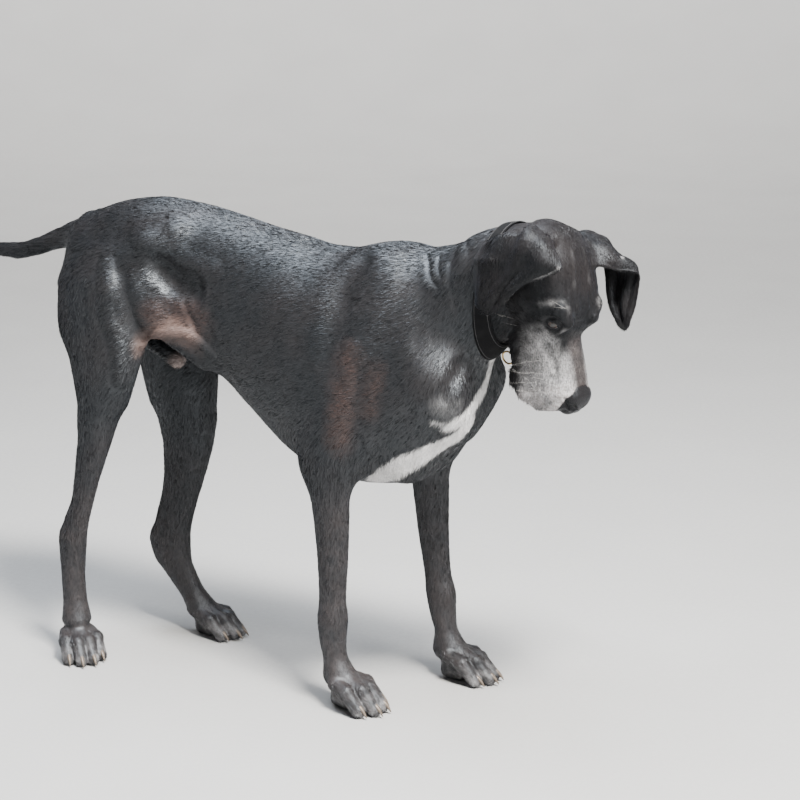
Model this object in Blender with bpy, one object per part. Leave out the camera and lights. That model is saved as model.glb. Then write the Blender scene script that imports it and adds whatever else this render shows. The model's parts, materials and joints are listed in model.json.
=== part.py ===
"""A great dane, life-size, standing with its head lowered and turned a little to its right.

The animal faces +X with its right side towards -Y, and stands on z = 0. Its flesh is one smooth body,
made of profiled lofts, muscles and folds, parted into named pieces by thin cuts.
"""

import math

import bmesh
import bpy
import numpy as np
from mathutils import Matrix, Vector

# Driving sizes, in metres
GAP = 0.0003  # kept between pieces that touch
BODY_CELL = 0.0065  # fineness of the body before it is thinned out
HEAD_CELL = 0.0026
BODY_FACES = 6400  # triangles left on the whole body, cut into its pieces afterwards
HEAD_FACES = 4300
EAR_THICK = 0.0045
EYE_RADIUS = 0.0125
CLAW_LENGTH = 0.017
COLLAR_WIDTH = 0.028
COLLAR_THICK = 0.0035
COLLAR_SIDES = 32
COLLAR_AT = (0.218, -0.030, 0.800)
COLLAR_ALONG = (0.980, -0.171, -0.100)
RING_RADIUS = 0.0115
RING_WIRE = 0.0017

# Topline, middle, underline and half width of the trunk, rump to breast: x, top, middle, bottom, half width
TRUNK = (
    (-0.665, 0.862, 0.765, 0.680, 0.062),
    (-0.600, 0.886, 0.765, 0.655, 0.093),
    (-0.520, 0.900, 0.760, 0.648, 0.102),
    (-0.430, 0.895, 0.740, 0.622, 0.098),
    (-0.350, 0.881, 0.710, 0.568, 0.105),
    (-0.280, 0.865, 0.670, 0.509, 0.120),
    (-0.200, 0.850, 0.640, 0.443, 0.132),
    (-0.140, 0.839, 0.620, 0.413, 0.137),
    (-0.060, 0.838, 0.620, 0.405, 0.135),
    (0.020, 0.842, 0.620, 0.413, 0.127),
    (0.080, 0.820, 0.620, 0.445, 0.112),
    (0.120, 0.760, 0.605, 0.495, 0.088),
)
# Along the neck: distance from its root, nape side, throat side, half width, rise of the middle, shift to the left
NECK_ROOT = (0.030, 0.0, 0.700)
NECK_PITCH = math.radians(36)
NECK = (
    (-0.050, 0.140, 0.150, 0.110, 0.000, 0.000),
    (0.000, 0.163, 0.165, 0.108, 0.000, 0.000),
    (0.110, 0.106, 0.125, 0.090, 0.000, -0.004),
    (0.200, 0.076, 0.110, 0.077, 0.000, -0.012),
    (0.270, 0.080, 0.082, 0.070, -0.020, -0.022),
    (0.325, 0.070, 0.060, 0.060, -0.036, -0.030),
)
# Down each leg: height, x, y, half length fore and aft, half width, turn of the section
HIND_RIGHT = (
    (0.800, -0.560, -0.062, 0.088, 0.045, 0),
    (0.740, -0.576, -0.080, 0.110, 0.058, 0),
    (0.657, -0.587, -0.092, 0.098, 0.057, 0),
    (0.598, -0.584, -0.097, 0.079, 0.052, -5),
    (0.520, -0.587, -0.103, 0.058, 0.044, -12),
    (0.479, -0.598, -0.106, 0.047, 0.037, -20),
    (0.438, -0.606, -0.108, 0.042, 0.030, -25),
    (0.397, -0.616, -0.110, 0.039, 0.026, -30),
    (0.356, -0.627, -0.110, 0.036, 0.0225, -35),
    (0.314, -0.638, -0.110, 0.033, 0.020, -35),
    (0.270, -0.655, -0.108, 0.037, 0.022, -35),
    (0.232, -0.667, -0.106, 0.040, 0.0255, -35),
    (0.197, -0.668, -0.107, 0.032, 0.025, -36),
    (0.160, -0.667, -0.109, 0.0265, 0.0235, -38),
    (0.115, -0.663, -0.112, 0.0240, 0.0240, -40),
    (0.075, -0.656, -0.118, 0.0260, 0.0290, -40),
)
HIND_LEFT = (
    (0.800, -0.550, 0.062, 0.088, 0.045, 0),
    (0.740, -0.556, 0.080, 0.108, 0.058, 0),
    (0.640, -0.550, 0.092, 0.098, 0.057, 0),
    (0.560, -0.546, 0.098, 0.088, 0.052, 0),
    (0.479, -0.540, 0.100, 0.076, 0.043, 0),
    (0.439, -0.531, 0.100, 0.066, 0.037, 0),
    (0.398, -0.530, 0.100, 0.058, 0.031, 0),
    (0.356, -0.535, 0.100, 0.051, 0.027, 0),
    (0.314, -0.543, 0.100, 0.045, 0.024, 0),
    (0.271, -0.555, 0.100, 0.042, 0.0215, 0),
    (0.227, -0.568, 0.100, 0.042, 0.022, 0),
    (0.186, -0.578, 0.100, 0.047, 0.025, 0),
    (0.150, -0.573, 0.100, 0.043, 0.0245, 0),
    (0.119, -0.554, 0.100, 0.036, 0.023, 0),
    (0.085, -0.530, 0.100, 0.030, 0.023, 0),
    (0.055, -0.505, 0.100, 0.028, 0.028, 0),
)
FORE_RIGHT = (
    (0.560, -0.060, -0.098, 0.070, 0.044, 0),
    (0.500, -0.080, -0.106, 0.056, 0.042, 0),
    (0.450, -0.086, -0.112, 0.045, 0.037, 0),
    (0.410, -0.084, -0.114, 0.039, 0.032, 0),
    (0.350, -0.080, -0.115, 0.0345, 0.0285, -3),
    (0.280, -0.078, -0.115, 0.0300, 0.0255, -5),
    (0.205, -0.079, -0.115, 0.0262, 0.0238, -5),
    (0.165, -0.079, -0.115, 0.0290, 0.0285, -5),
    (0.130, -0.079, -0.115, 0.0262, 0.0262, -5),
    (0.095, -0.074, -0.116, 0.0225, 0.0250, -5),
    (0.062, -0.062, -0.117, 0.0240, 0.0300, -5),
)
FORE_LEFT = (
    (0.560, 0.015, 0.098, 0.070, 0.044, 0),
    (0.500, 0.006, 0.106, 0.056, 0.042, 0),
    (0.450, 0.002, 0.110, 0.045, 0.037, 0),
    (0.410, 0.004, 0.112, 0.039, 0.032, 0),
    (0.350, 0.008, 0.112, 0.0345, 0.0285, 3),
    (0.280, 0.013, 0.112, 0.0300, 0.0255, 4),
    (0.205, 0.022, 0.112, 0.0262, 0.0238, 4),
    (0.165, 0.029, 0.112, 0.0290, 0.0285, 4),
    (0.130, 0.033, 0.112, 0.0262, 0.0262, 4),
    (0.095, 0.040, 0.112, 0.0225, 0.0250, 4),
    (0.062, 0.052, 0.112, 0.0240, 0.0300, 4),
)
# Each paw: the middle of its print, its turn in degrees, and its size against a forepaw
PAWS = {
    "foreleg_right": ((-0.036, -0.119), -6, 1.00),
    "foreleg_left": ((0.078, 0.112), 5, 1.00),
    "hindleg_right": ((-0.638, -0.134), -40, 0.93),
    "hindleg_left": ((-0.476, 0.100), 2, 0.93),
}
# Along the tail from the rump: x, height, shift, radius
TAIL = (
    (-1.180, 0.872, 0.012, 0.0050),
    (-1.120, 0.834, 0.010, 0.0075),
    (-1.050, 0.800, 0.006, 0.0095),
    (-0.970, 0.777, 0.002, 0.0115),
    (-0.900, 0.768, 0.000, 0.0135),
    (-0.850, 0.770, 0.000, 0.0158),
    (-0.800, 0.783, 0.000, 0.0180),
    (-0.750, 0.802, 0.000, 0.0215),
    (-0.700, 0.815, 0.000, 0.0300),
    (-0.650, 0.815, 0.000, 0.0420),
)
# The head's own frame starts at the back of the skull: forward along the nose, up, and out to either side
HEAD_AT = (0.351, -0.035, 0.926)
HEAD_PITCH = math.radians(78)
HEAD_YAW = math.radians(17)
# Along the head: forward, top, middle, bottom, half width
SKULL = (
    (0.036, -0.014, -0.048, -0.100, 0.050),
    (0.060, -0.003, -0.050, -0.114, 0.063),
    (0.090, 0.002, -0.052, -0.122, 0.070),
    (0.120, 0.003, -0.055, -0.126, 0.071),
    (0.146, 0.000, -0.056, -0.128, 0.062),
    (0.172, -0.016, -0.058, -0.128, 0.047),
)
MUZZLE = (
    (0.135, -0.016, -0.058, -0.124, 0.036),
    (0.170, -0.026, -0.064, -0.132, 0.0345),
    (0.210, -0.030, -0.074, -0.142, 0.0345),
    (0.255, -0.028, -0.078, -0.147, 0.0365),
    (0.292, -0.028, -0.078, -0.147, 0.0355),
    (0.308, -0.032, -0.072, -0.134, 0.0310),
)
EYE_AT = (0.163, -0.035, 0.0405)  # the middle of each eyeball on the head
EYE_LOOKS = (0.50, 0.30, 0.81)
# Each ear hangs in rows from its root to its tip, front, middle and rear: forward, up, out
EAR_RIGHT = (
    ((0.030, -0.016, 0.046), (0.018, -0.046, 0.052), (0.030, -0.082, 0.058)),
    ((0.028, 0.006, 0.064), (-0.002, -0.030, 0.078), (0.012, -0.088, 0.080)),
    ((0.044, 0.026, 0.080), (0.004, -0.022, 0.108), (0.018, -0.112, 0.102)),
    ((0.070, 0.037, 0.088), (0.036, -0.030, 0.120), (0.046, -0.136, 0.108)),
    ((0.080, 0.004, 0.094), (0.066, -0.046, 0.118), (0.070, -0.154, 0.107)),
    ((0.086, -0.034, 0.103), (0.092, -0.078, 0.116), (0.092, -0.158, 0.106)),
    ((0.104, -0.066, 0.105), (0.116, -0.104, 0.111), (0.112, -0.156, 0.106)),
    ((0.116, -0.084, 0.106), (0.131, -0.116, 0.109), (0.122, -0.148, 0.106)),
)
EAR_LEFT = (
    ((0.076, -0.006, 0.044), (0.044, -0.026, 0.050), (0.030, -0.060, 0.054)),
    ((0.084, 0.012, 0.066), (0.046, -0.008, 0.074), (0.026, -0.050, 0.078)),
    ((0.092, 0.026, 0.088), (0.056, 0.000, 0.098), (0.030, -0.044, 0.100)),
    ((0.102, 0.036, 0.108), (0.084, 0.004, 0.114), (0.070, -0.040, 0.114)),
    ((0.112, 0.034, 0.112), (0.112, 0.002, 0.119), (0.104, -0.038, 0.116)),
    ((0.136, 0.024, 0.111), (0.138, -0.006, 0.116), (0.134, -0.036, 0.112)),
    ((0.168, 0.010, 0.110), (0.170, -0.010, 0.112), (0.166, -0.030, 0.109)),
    ((0.192, 0.001, 0.108), (0.199, -0.010, 0.109), (0.190, -0.022, 0.108)),
)
FAR = 1.0  # distance given to points that nothing is near


# The smooth body: every form takes points and the distance so far, and gives the distance with itself added


def unit(vector):
    vector = np.asarray(vector, float)
    return vector / np.linalg.norm(vector)


def between(rows, at):
    """The rows' values at places along their first column, on smooth curves that never overshoot."""
    rows = np.array(rows, float)
    rows = rows[np.argsort(rows[:, 0])]
    place, value = rows[:, 0], rows[:, 1:]
    step = np.diff(place)[:, None]
    slope = np.diff(value, axis=0) / step
    product = slope[1:] * slope[:-1]
    total = np.where(product > 0, slope[1:] + slope[:-1], 1)
    grade = np.vstack([slope[:1], np.where(product > 0, 2 * product / total, 0), slope[-1:]])
    at = np.clip(at, place[0], place[-1])
    i = np.clip(np.searchsorted(place, at) - 1, 0, len(place) - 2)
    t = ((at - place[i]) / step[i, 0])[:, None]
    ease = t * t * (3 - 2 * t)
    bend = t * (1 - t) * step[i] * ((1 - t) * grade[i] - t * grade[i + 1])
    return value[i] + ease * (value[i + 1] - value[i]) + bend


def merged(first, second, blend):
    """A union of two distances with a soft fillet about as wide as blend."""
    share = np.clip(0.5 + 0.5 * (second - first) / blend, 0, 1)
    return second + share * (first - second) - blend * share * (1 - share)


class Form:
    """A piece of flesh or a fold: where it acts, and how it changes the distance there."""

    def __init__(self, corners, margin, change):
        corners = np.asarray(corners, float)
        self.low = corners.min(axis=0) - margin
        self.high = corners.max(axis=0) + margin
        self.change = change


def loft(frame, rows, blend, cap, power=2.0):
    """Flesh along a straight axis of a frame (origin, along, up, side).

    Each row holds: place, middle up, middle side, reach up, reach down, half width, turn in degrees.
    """
    origin, axes = np.array(frame[0], float), np.array([unit(v) for v in frame[1:]])
    rows = np.array(sorted(rows), float)
    first, last = rows[0, 0], rows[-1, 0]

    def change(points, so_far):
        local = (points - origin) @ axes.T
        up0, side0, rise, fall, half, turn = between(rows, local[:, 0]).T
        past = np.maximum(np.maximum(first - local[:, 0], local[:, 0] - last), 0)
        up, side = local[:, 1] - up0, local[:, 2] - side0
        turn = np.radians(turn)
        up, side = up * np.cos(turn) + side * np.sin(turn), side * np.cos(turn) - up * np.sin(turn)
        size = np.where(up > 0, rise, fall)
        share = (np.abs(up / size) ** power + np.abs(side / half) ** power + (past / cap) ** power)
        share = np.maximum(share ** (1 / power), 1e-4)
        length = np.sqrt(up**2 + side**2 + past**2)
        return merged(so_far, length * (1 - 1 / share) - 1e-6, blend)

    wide = np.maximum(rows[:, 3:5].max(axis=1), rows[:, 5])
    corners = [
        origin + axes.T @ [at, up + i * w, side + j * w]
        for at, up, side, w in zip(rows[:, 0], rows[:, 1], rows[:, 2], wide)
        for i in (-1, 1)
        for j in (-1, 1)
    ]
    return Form(corners, blend + cap + 0.02, change)


def muscle(start, end, start_radius, end_radius, blend, flat=1.0, across=(0, 1, 0), carve=False):
    """A tapered, rounded bar of flesh; flat below 1 thins it across the given direction."""
    start, end, across = np.array(start, float), np.array(end, float), unit(across)
    along = end - start
    length2 = max(along @ along, 1e-12)

    def change(points, so_far):
        offset = points - start
        t = np.clip(offset @ along / length2, 0, 1)
        offset = offset - t[:, None] * along
        offset = offset + np.outer(offset @ across, across) * (1 / flat - 1)
        radius = start_radius + t * (end_radius - start_radius)
        length = np.sqrt((offset**2).sum(axis=1))
        apart = (length - radius) * (flat if flat < 1 else 1)
        return -merged(-so_far, apart, blend) if carve else merged(so_far, apart, blend)

    reach = max(start_radius, end_radius)
    return Form([start, end], reach + blend + 0.02, change)


def path_distance(points, path):
    """The distance from each point to a line through the path's points."""
    best = np.full(len(points), FAR)
    for start, end in zip(path[:-1], path[1:]):
        along = end - start
        t = np.clip((points - start) @ along / max(along @ along, 1e-12), 0, 1)
        best = np.minimum(best, np.linalg.norm(points - start - t[:, None] * along, axis=1))
    return best


def curve_through(points, per_span=6):
    """A smooth path through a few points."""
    points = np.array(points, float)
    places = np.arange(len(points), dtype=float)
    return between(np.column_stack([places, points]), np.linspace(0, places[-1], per_span * (len(points) - 1) + 1))


def fold(points, radius, height):
    """A ridge along a path, or a groove where the height is negative."""
    path = curve_through(points) if len(points) > 2 else np.array(points, float)

    def change(spots, so_far):
        near = np.clip(path_distance(spots, path) / radius, 0, 1)
        return so_far - height * (1 - near**2) ** 2

    return Form(path, radius, change)


WORLD_X = ((0, 0, 0), (1, 0, 0), (0, 0, 1), (0, 1, 0))
WORLD_Z = ((0, 0, 0), (0, 0, 1), (1, 0, 0), (0, 1, 0))


def trunk_rows():
    return [(x, mid, 0, top - mid, mid - low, half, 0) for x, top, mid, low, half in TRUNK]


def leg_rows(stations):
    return [(z, x, y, along, along, half, turn) for z, x, y, along, half, turn in stations]


def trunk_forms():
    along = (math.cos(NECK_PITCH), 0, math.sin(NECK_PITCH))
    up = (-math.sin(NECK_PITCH), 0, math.cos(NECK_PITCH))
    neck = [(at, rise, side, nape, throat, half, 0) for at, nape, throat, half, rise, side in NECK]
    forms = [loft(WORLD_X, trunk_rows(), 0.03, 0.045, 2.15)]
    forms.append(loft((NECK_ROOT, along, up, (0, 1, 0)), neck, 0.035, 0.05, 2.1))
    tail = [(x, z, y, radius, radius, radius, 0) for x, z, y, radius in TAIL]
    forms.append(loft(WORLD_X, tail, 0.02, 0.012))
    for side, elbow_x in ((-1, -0.086), (1, 0.002)):
        y = 0.1 * side
        elbow = (elbow_x, 1.1 * y, 0.462)
        forms += [
            # Shoulder blade, its two muscles, the point of the shoulder and the upper arm
            muscle((-0.012, 0.052 * side, 0.800), (0.092, 0.92 * y, 0.625), 0.050, 0.056, 0.03, 0.62),
            muscle((0.098, 0.90 * y, 0.608), elbow, 0.056, 0.045, 0.03, 0.72),
            muscle((-0.035, 0.092 * side, 0.640), elbow, 0.070, 0.042, 0.035, 0.55),
            muscle((elbow_x - 0.034, y * 1.06, 0.452), (elbow_x - 0.012, y * 1.1, 0.42), 0.016, 0.014, 0.018),
            # Breast muscle on each side of the keel
            muscle((0.105, 0.042 * side, 0.575), (0.045, 0.050 * side, 0.475), 0.050, 0.045, 0.03),
            # Hip bone, and the fold of skin from thigh to belly
            muscle((-0.440, 0.062 * side, 0.856), (-0.490, 0.076 * side, 0.832), 0.020, 0.024, 0.055),
            muscle((-0.468, 0.104 * side, 0.690), (-0.372, 0.080 * side, 0.618), 0.026, 0.020, 0.04, 0.6),
            # Seat bone
            muscle((-0.655, 0.045 * side, 0.800), (-0.668, 0.055 * side, 0.740), 0.032, 0.034, 0.03),
        ]
    # Sheath under the groin
    forms.append(muscle((-0.580, 0, 0.640), (-0.484, 0, 0.588), 0.020, 0.0165, 0.012))
    return forms


def leg_forms():
    forms = []
    for rows in (FORE_RIGHT, FORE_LEFT):
        forms.append(loft(WORLD_Z, leg_rows(rows), 0.02, 0.02))
    for rows in (HIND_RIGHT, HIND_LEFT):
        forms.append(loft(WORLD_Z, leg_rows(rows), 0.03, 0.02))
    return forms


def paw_forms(middle, turn, size):
    """Four arched toes side by side, the pad behind them, and the foot's root."""
    turn = math.radians(turn)
    ahead, out = np.array([math.cos(turn), math.sin(turn), 0]), np.array([-math.sin(turn), math.cos(turn), 0])
    base = np.array([*middle, 0.0])

    def spot(along, side, height):
        return base + size * (along * ahead + side * out) + np.array([0, 0, size * height])

    forms = [muscle(spot(-0.036, 0, 0.058), spot(-0.008, 0, 0.040), 0.026 * size, 0.028 * size, 0.02, 0.8, out)]
    forms.append(muscle(spot(-0.026, 0, 0.016), spot(-0.006, 0, 0.016), 0.020 * size, 0.023 * size, 0.014))
    for side, reach in ((-0.033, 0.030), (-0.0118, 0.050), (0.0118, 0.050), (0.033, 0.030)):
        knuckle = spot(reach - 0.022, side * 0.98, 0.0415)
        tip = spot(reach + 0.006, side * 1.04, 0.0118)
        forms.append(muscle(spot(reach - 0.052, side * 0.72, 0.050), knuckle, 0.015 * size, 0.0152 * size, 0.006))
        forms.append(muscle(knuckle, tip, 0.0152 * size, 0.0135 * size, 0.004))
    return forms


def claw_seats(middle, turn, size):
    """Where each claw starts and ends."""
    turn = math.radians(turn)
    ahead, out = np.array([math.cos(turn), math.sin(turn), 0]), np.array([-math.sin(turn), math.cos(turn), 0])
    base = np.array([*middle, 0.0])
    seats = []
    for side, reach in ((-0.0345, 0.030), (-0.0125, 0.050), (0.0125, 0.050), (0.0345, 0.030)):
        start = base + size * ((reach + 0.010) * ahead + side * out) + np.array([0, 0, 0.0185 * size])
        seats.append((start, start + CLAW_LENGTH * unit(ahead + side * 3 * out - np.array([0, 0, 0.62]))))
    return seats


def head_frame():
    """Forward, up and right-side directions of the head, as rows."""
    cp, sp = math.cos(HEAD_PITCH), math.sin(HEAD_PITCH)
    cy, sy = math.cos(HEAD_YAW), math.sin(HEAD_YAW)
    ahead = np.array([cp * cy, -cp * sy, -sp])
    up = np.array([sp * cy, -sp * sy, cp])
    return np.array([ahead, up, (-sy, -cy, 0.0)])


def on_head(ahead, up, right):
    return tuple(np.array(HEAD_AT) + np.array([ahead, up, right]) @ head_frame())


def head_forms():
    axes = head_frame()
    frame = (HEAD_AT, *axes)
    skull = [(f, mid, 0, top - mid, mid - low, half, 0) for f, top, mid, low, half in SKULL]
    muzzle = [(f, mid, 0, top - mid, mid - low, half, 0) for f, top, mid, low, half in MUZZLE]
    forms = [loft(frame, skull, 0.03, 0.022, 2.8), loft(frame, muzzle, 0.016, 0.014, 3.2)]

    def bar(start, end, start_radius, end_radius, blend, flat=1.0, across=(0, 0, 1), carve=False):
        direction = np.array(across, float) @ axes
        return muscle(on_head(*start), on_head(*end), start_radius, end_radius, blend, flat, direction, carve)

    # Lower jaw, chin, nose
    forms.append(bar((0.060, -0.108, 0), (0.240, -0.130, 0), 0.036, 0.025, 0.012))
    forms.append(bar((0.240, -0.134, 0), (0.278, -0.138, 0), 0.024, 0.020, 0.008))
    forms.append(bar((0.303, -0.044, -0.010), (0.303, -0.044, 0.010), 0.0215, 0.0215, 0.004))
    forms.append(bar((0.314, -0.052, -0.006), (0.314, -0.052, 0.006), 0.0185, 0.0185, 0.004))
    for side in (-1, 1):
        eye = np.array([EYE_AT[0], EYE_AT[1], EYE_AT[2] * side])
        looks = unit([EYE_LOOKS[0], EYE_LOOKS[1], EYE_LOOKS[2] * side])
        inner = unit(looks + [0.37, 0.37, -0.36 * side])
        outer = unit(looks + [-0.40, -0.40, 0.38 * side])
        shell = EYE_RADIUS + 0.0035
        forms += [
            # Cheek, cheekbone, brow, lips that hang below the jaw
            bar((0.050, -0.066, 0.040 * side), (0.105, -0.086, 0.040 * side), 0.037, 0.032, 0.02, 0.75),
            bar((0.062, -0.046, 0.062 * side), (0.142, -0.050, 0.049 * side), 0.012, 0.011, 0.016),
            bar((0.130, -0.038, 0.046 * side), (0.147, -0.016, 0.043 * side), 0.011, 0.0125, 0.016),
            bar((0.147, -0.016, 0.043 * side), (0.168, -0.013, 0.032 * side), 0.0125, 0.0115, 0.012),
            bar((0.190, -0.100, 0.029 * side), (0.284, -0.094, 0.023 * side), 0.038, 0.034, 0.014, 0.48),
            bar((0.200, -0.136, 0.036 * side), (0.278, -0.136, 0.030 * side), 0.018, 0.021, 0.010, 0.5),
            bar((0.262, -0.148, 0.025 * side), (0.281, -0.153, 0.021 * side), 0.012, 0.0125, 0.008),
            # Eye socket, the lids round the eyeball and the slit between them
            bar(eye + 0.014 * looks, eye + 0.018 * looks, 0.0125, 0.015, 0.010, carve=True),
            bar(eye, eye, EYE_RADIUS + 0.0022, EYE_RADIUS + 0.0022, 0.006),
            bar(eye + shell * inner, eye + shell * looks, 0.0050, 0.0066, 0.0015, carve=True),
            bar(eye + shell * looks, eye + shell * outer, 0.0066, 0.0046, 0.0015, carve=True),
            # Nostril and its slit
            bar((0.331, -0.046, 0.0090 * side), (0.323, -0.050, 0.0140 * side), 0.0048, 0.0040, 0.002, carve=True),
            bar((0.325, -0.051, 0.0160 * side), (0.308, -0.056, 0.0280 * side), 0.0034, 0.0020, 0.002, carve=True),
        ]
    forms += head_folds()
    return forms


def head_folds():
    """The furrows of the face: lip line, the split under the nose, between the brows, cheeks."""
    forms = [
        fold([on_head(0.334, -0.060, 0), on_head(0.324, -0.076, 0), on_head(0.320, -0.100, 0)], 0.005, -0.0035),
        fold([on_head(0.060, 0.004, 0), on_head(0.100, 0.004, 0), on_head(0.150, -0.010, 0)], 0.016, -0.0025),
    ]
    for side in (-1, 1):
        lip = ((0.313, -0.132, 0.012), (0.296, -0.150, 0.034), (0.248, -0.156, 0.045), (0.200, -0.146, 0.047))
        forms.append(fold([on_head(f, u, s * side) for f, u, s in lip], 0.0065, -0.0045))
        under = ((0.176, -0.018, 0.035), (0.189, -0.028, 0.040), (0.199, -0.044, 0.044), (0.202, -0.060, 0.047))
        forms.append(fold([on_head(f, u, s * side) for f, u, s in under], 0.009, 0.0025))
        pouch = ((0.272, -0.168, 0.026), (0.289, -0.158, 0.034), (0.302, -0.144, 0.034))
        forms.append(fold([on_head(f, u, s * side) for f, u, s in pouch], 0.008, -0.0045))
    return forms


FORMS = {"body": trunk_forms() + leg_forms() + [form for paw in PAWS.values() for form in paw_forms(*paw)]}
FORMS["head"] = head_forms()
FORMS["whole"] = FORMS["body"] + FORMS["head"]


def distance(points, forms):
    values = np.full(len(points), FAR)
    for form in forms:
        near = np.all((points > form.low) & (points < form.high), axis=1)
        if near.any():
            values[near] = form.change(points[near], values[near])
    return values


def sampled(forms, low, high, cell):
    """The distance at every corner of a block of cubes."""
    low, high = np.array(low, float), np.array(high, float)
    count = np.ceil((high - low) / cell).astype(int) + 1
    lines = [low[k] + cell * np.arange(count[k]) for k in range(3)]
    values = np.full(count, FAR)
    for form in forms:
        cut = []
        for k in range(3):
            inside = np.flatnonzero((lines[k] > form.low[k]) & (lines[k] < form.high[k]))
            cut.append(slice(inside[0], inside[-1] + 1) if len(inside) else slice(0, 0))
        block = values[tuple(cut)]
        if block.size:
            grid = np.meshgrid(*[lines[k][cut[k]] for k in range(3)], indexing="ij")
            points = np.stack(grid, axis=-1).reshape(-1, 3)
            values[tuple(cut)] = form.change(points, block.reshape(-1)).reshape(block.shape)
    return values


def close_pinches(values, cell):
    """Fills each square of four grid corners whose signs cross over, where the surface would touch itself."""
    for _ in range(8):
        found = 0
        for k in range(3):
            face = np.moveaxis(values, k, 0)
            a, b, c, d = face[:, :-1, :-1], face[:, 1:, :-1], face[:, 1:, 1:], face[:, :-1, 1:]
            inside = [corner < 0 for corner in (a, b, c, d)]
            crossed = (inside[0] == inside[2]) & (inside[1] == inside[3]) & (inside[0] != inside[1])
            for corner in (a, b, c, d):
                corner[crossed & (corner >= 0)] = -0.1 * cell
            found += crossed.sum()
        if not found:
            return


def wrapped(forms, low, high, cell):
    """Points and four-sided faces of the surface where the distance is nought."""
    values = sampled(forms, low, high, cell)
    close_pinches(values, cell)
    shape = np.array(values.shape) - 1
    total = np.zeros((*shape, 3))
    hits = np.zeros(shape)
    quads = []
    index = np.arange(shape.prod()).reshape(shape)
    for k in range(3):
        i, j = [a for a in range(3) if a != k]
        before = np.take(values, range(values.shape[k] - 1), axis=k)
        after = np.take(values, range(1, values.shape[k]), axis=k)
        where = np.argwhere((before < 0) != (after < 0))
        spots = tuple(where.T)
        share = before[spots] / (before[spots] - after[spots])
        crossing = where.astype(float)
        crossing[:, k] += share
        ring = []
        for di, dj in ((0, 0), (-1, 0), (-1, -1), (0, -1)):
            cube = where.copy()
            cube[:, i] += di
            cube[:, j] += dj
            inside = np.all((cube >= 0) & (cube < shape), axis=1)
            np.add.at(total, tuple(cube[inside].T), crossing[inside])
            np.add.at(hits, tuple(cube[inside].T), 1)
            ring.append(np.where(inside, index[tuple(np.clip(cube, 0, shape - 1).T)], -1))
        faces = np.stack(ring, axis=1)
        flip = (before[spots] < 0) == (k == 1)
        faces[flip] = faces[flip][:, ::-1]
        quads.append(faces[(faces >= 0).all(axis=1)])
    faces = np.concatenate(quads)
    used, inverse = np.unique(faces, return_inverse=True)
    points = (total.reshape(-1, 3)[used] / hits.reshape(-1)[used][:, None]) * cell + np.array(low, float)
    return settled(points, forms), inverse.reshape(faces.shape)


def settled(points, forms, rounds=3, probe=0.0006):
    """The points moved onto the surface."""
    for _ in range(rounds):
        here = distance(points, forms)
        slope = np.stack([distance(points + probe * axis, forms) - here for axis in np.eye(3)], axis=1) / probe
        steep = np.maximum((slope**2).sum(axis=1), 0.2)
        points = points - np.clip(here / steep, -0.003, 0.003)[:, None] * slope
    return points


# From points and faces to separate closed pieces


def clear_scene():
    for item in list(bpy.data.objects):
        bpy.data.objects.remove(item, do_unlink=True)


def new_object(name, points, faces):
    mesh = bpy.data.meshes.new(name)
    mesh.from_pydata([tuple(p) for p in points], [], [tuple(f) for f in faces])
    piece = bpy.data.objects.new(name, mesh)
    bpy.context.scene.collection.objects.link(piece)
    return piece


def baked(piece):
    """The piece with its modifiers applied."""
    graph = bpy.context.evaluated_depsgraph_get()
    mesh = bpy.data.meshes.new_from_object(piece.evaluated_get(graph))
    piece.modifiers.clear()
    piece.data = mesh
    return piece


def thinned(piece, faces):
    """Fewer triangles, most of them kept where the surface bends."""
    now = sum(len(face.vertices) - 2 for face in piece.data.polygons)
    modifier = piece.modifiers.new("Thin", "DECIMATE")
    modifier.ratio = min(1.0, faces / now)
    return baked(piece)


def largest_body(shape):
    """Deletes all but the largest surface of a bmesh whose faces are joined along edges."""
    seen, best = set(), []
    for start in shape.faces:
        if start in seen:
            continue
        stack, group = [start], []
        seen.add(start)
        while stack:
            face = stack.pop()
            group.append(face)
            for other in [linked for edge in face.edges for linked in edge.link_faces]:
                if other not in seen:
                    seen.add(other)
                    stack.append(other)
        if len(group) > len(best):
            best = group
    keep = set(best)
    bmesh.ops.delete(shape, geom=[face for face in shape.faces if face not in keep], context="FACES")


def cut_piece(name, source, planes):
    """A closed piece of the source: what lies on the positive side of every plane (point, direction)."""
    shape = bmesh.new()
    shape.from_mesh(source.data)
    for point, direction in planes:
        everything = shape.verts[:] + shape.edges[:] + shape.faces[:]
        bmesh.ops.bisect_plane(
            shape,
            geom=everything,
            plane_co=point,
            plane_no=direction,
            dist=3e-4,
            use_snap_center=True,
            clear_inner=True,
        )
        bmesh.ops.remove_doubles(shape, verts=shape.verts[:], dist=2e-5)
        rim = [edge for edge in shape.edges if edge.is_boundary]
        bmesh.ops.holes_fill(shape, edges=rim)
    bmesh.ops.triangulate(shape, faces=shape.faces[:])
    largest_body(shape)
    bmesh.ops.recalc_face_normals(shape, faces=shape.faces[:])
    mesh = bpy.data.meshes.new(name)
    shape.to_mesh(mesh)
    shape.free()
    piece = bpy.data.objects.new(name, mesh)
    bpy.context.scene.collection.objects.link(piece)
    return piece


def facing(point, direction, away=1):
    """A cutting plane set half a gap into the side that it keeps."""
    direction = unit(direction) * away
    return tuple(np.array(point) + direction * GAP / 2), tuple(direction)


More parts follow.
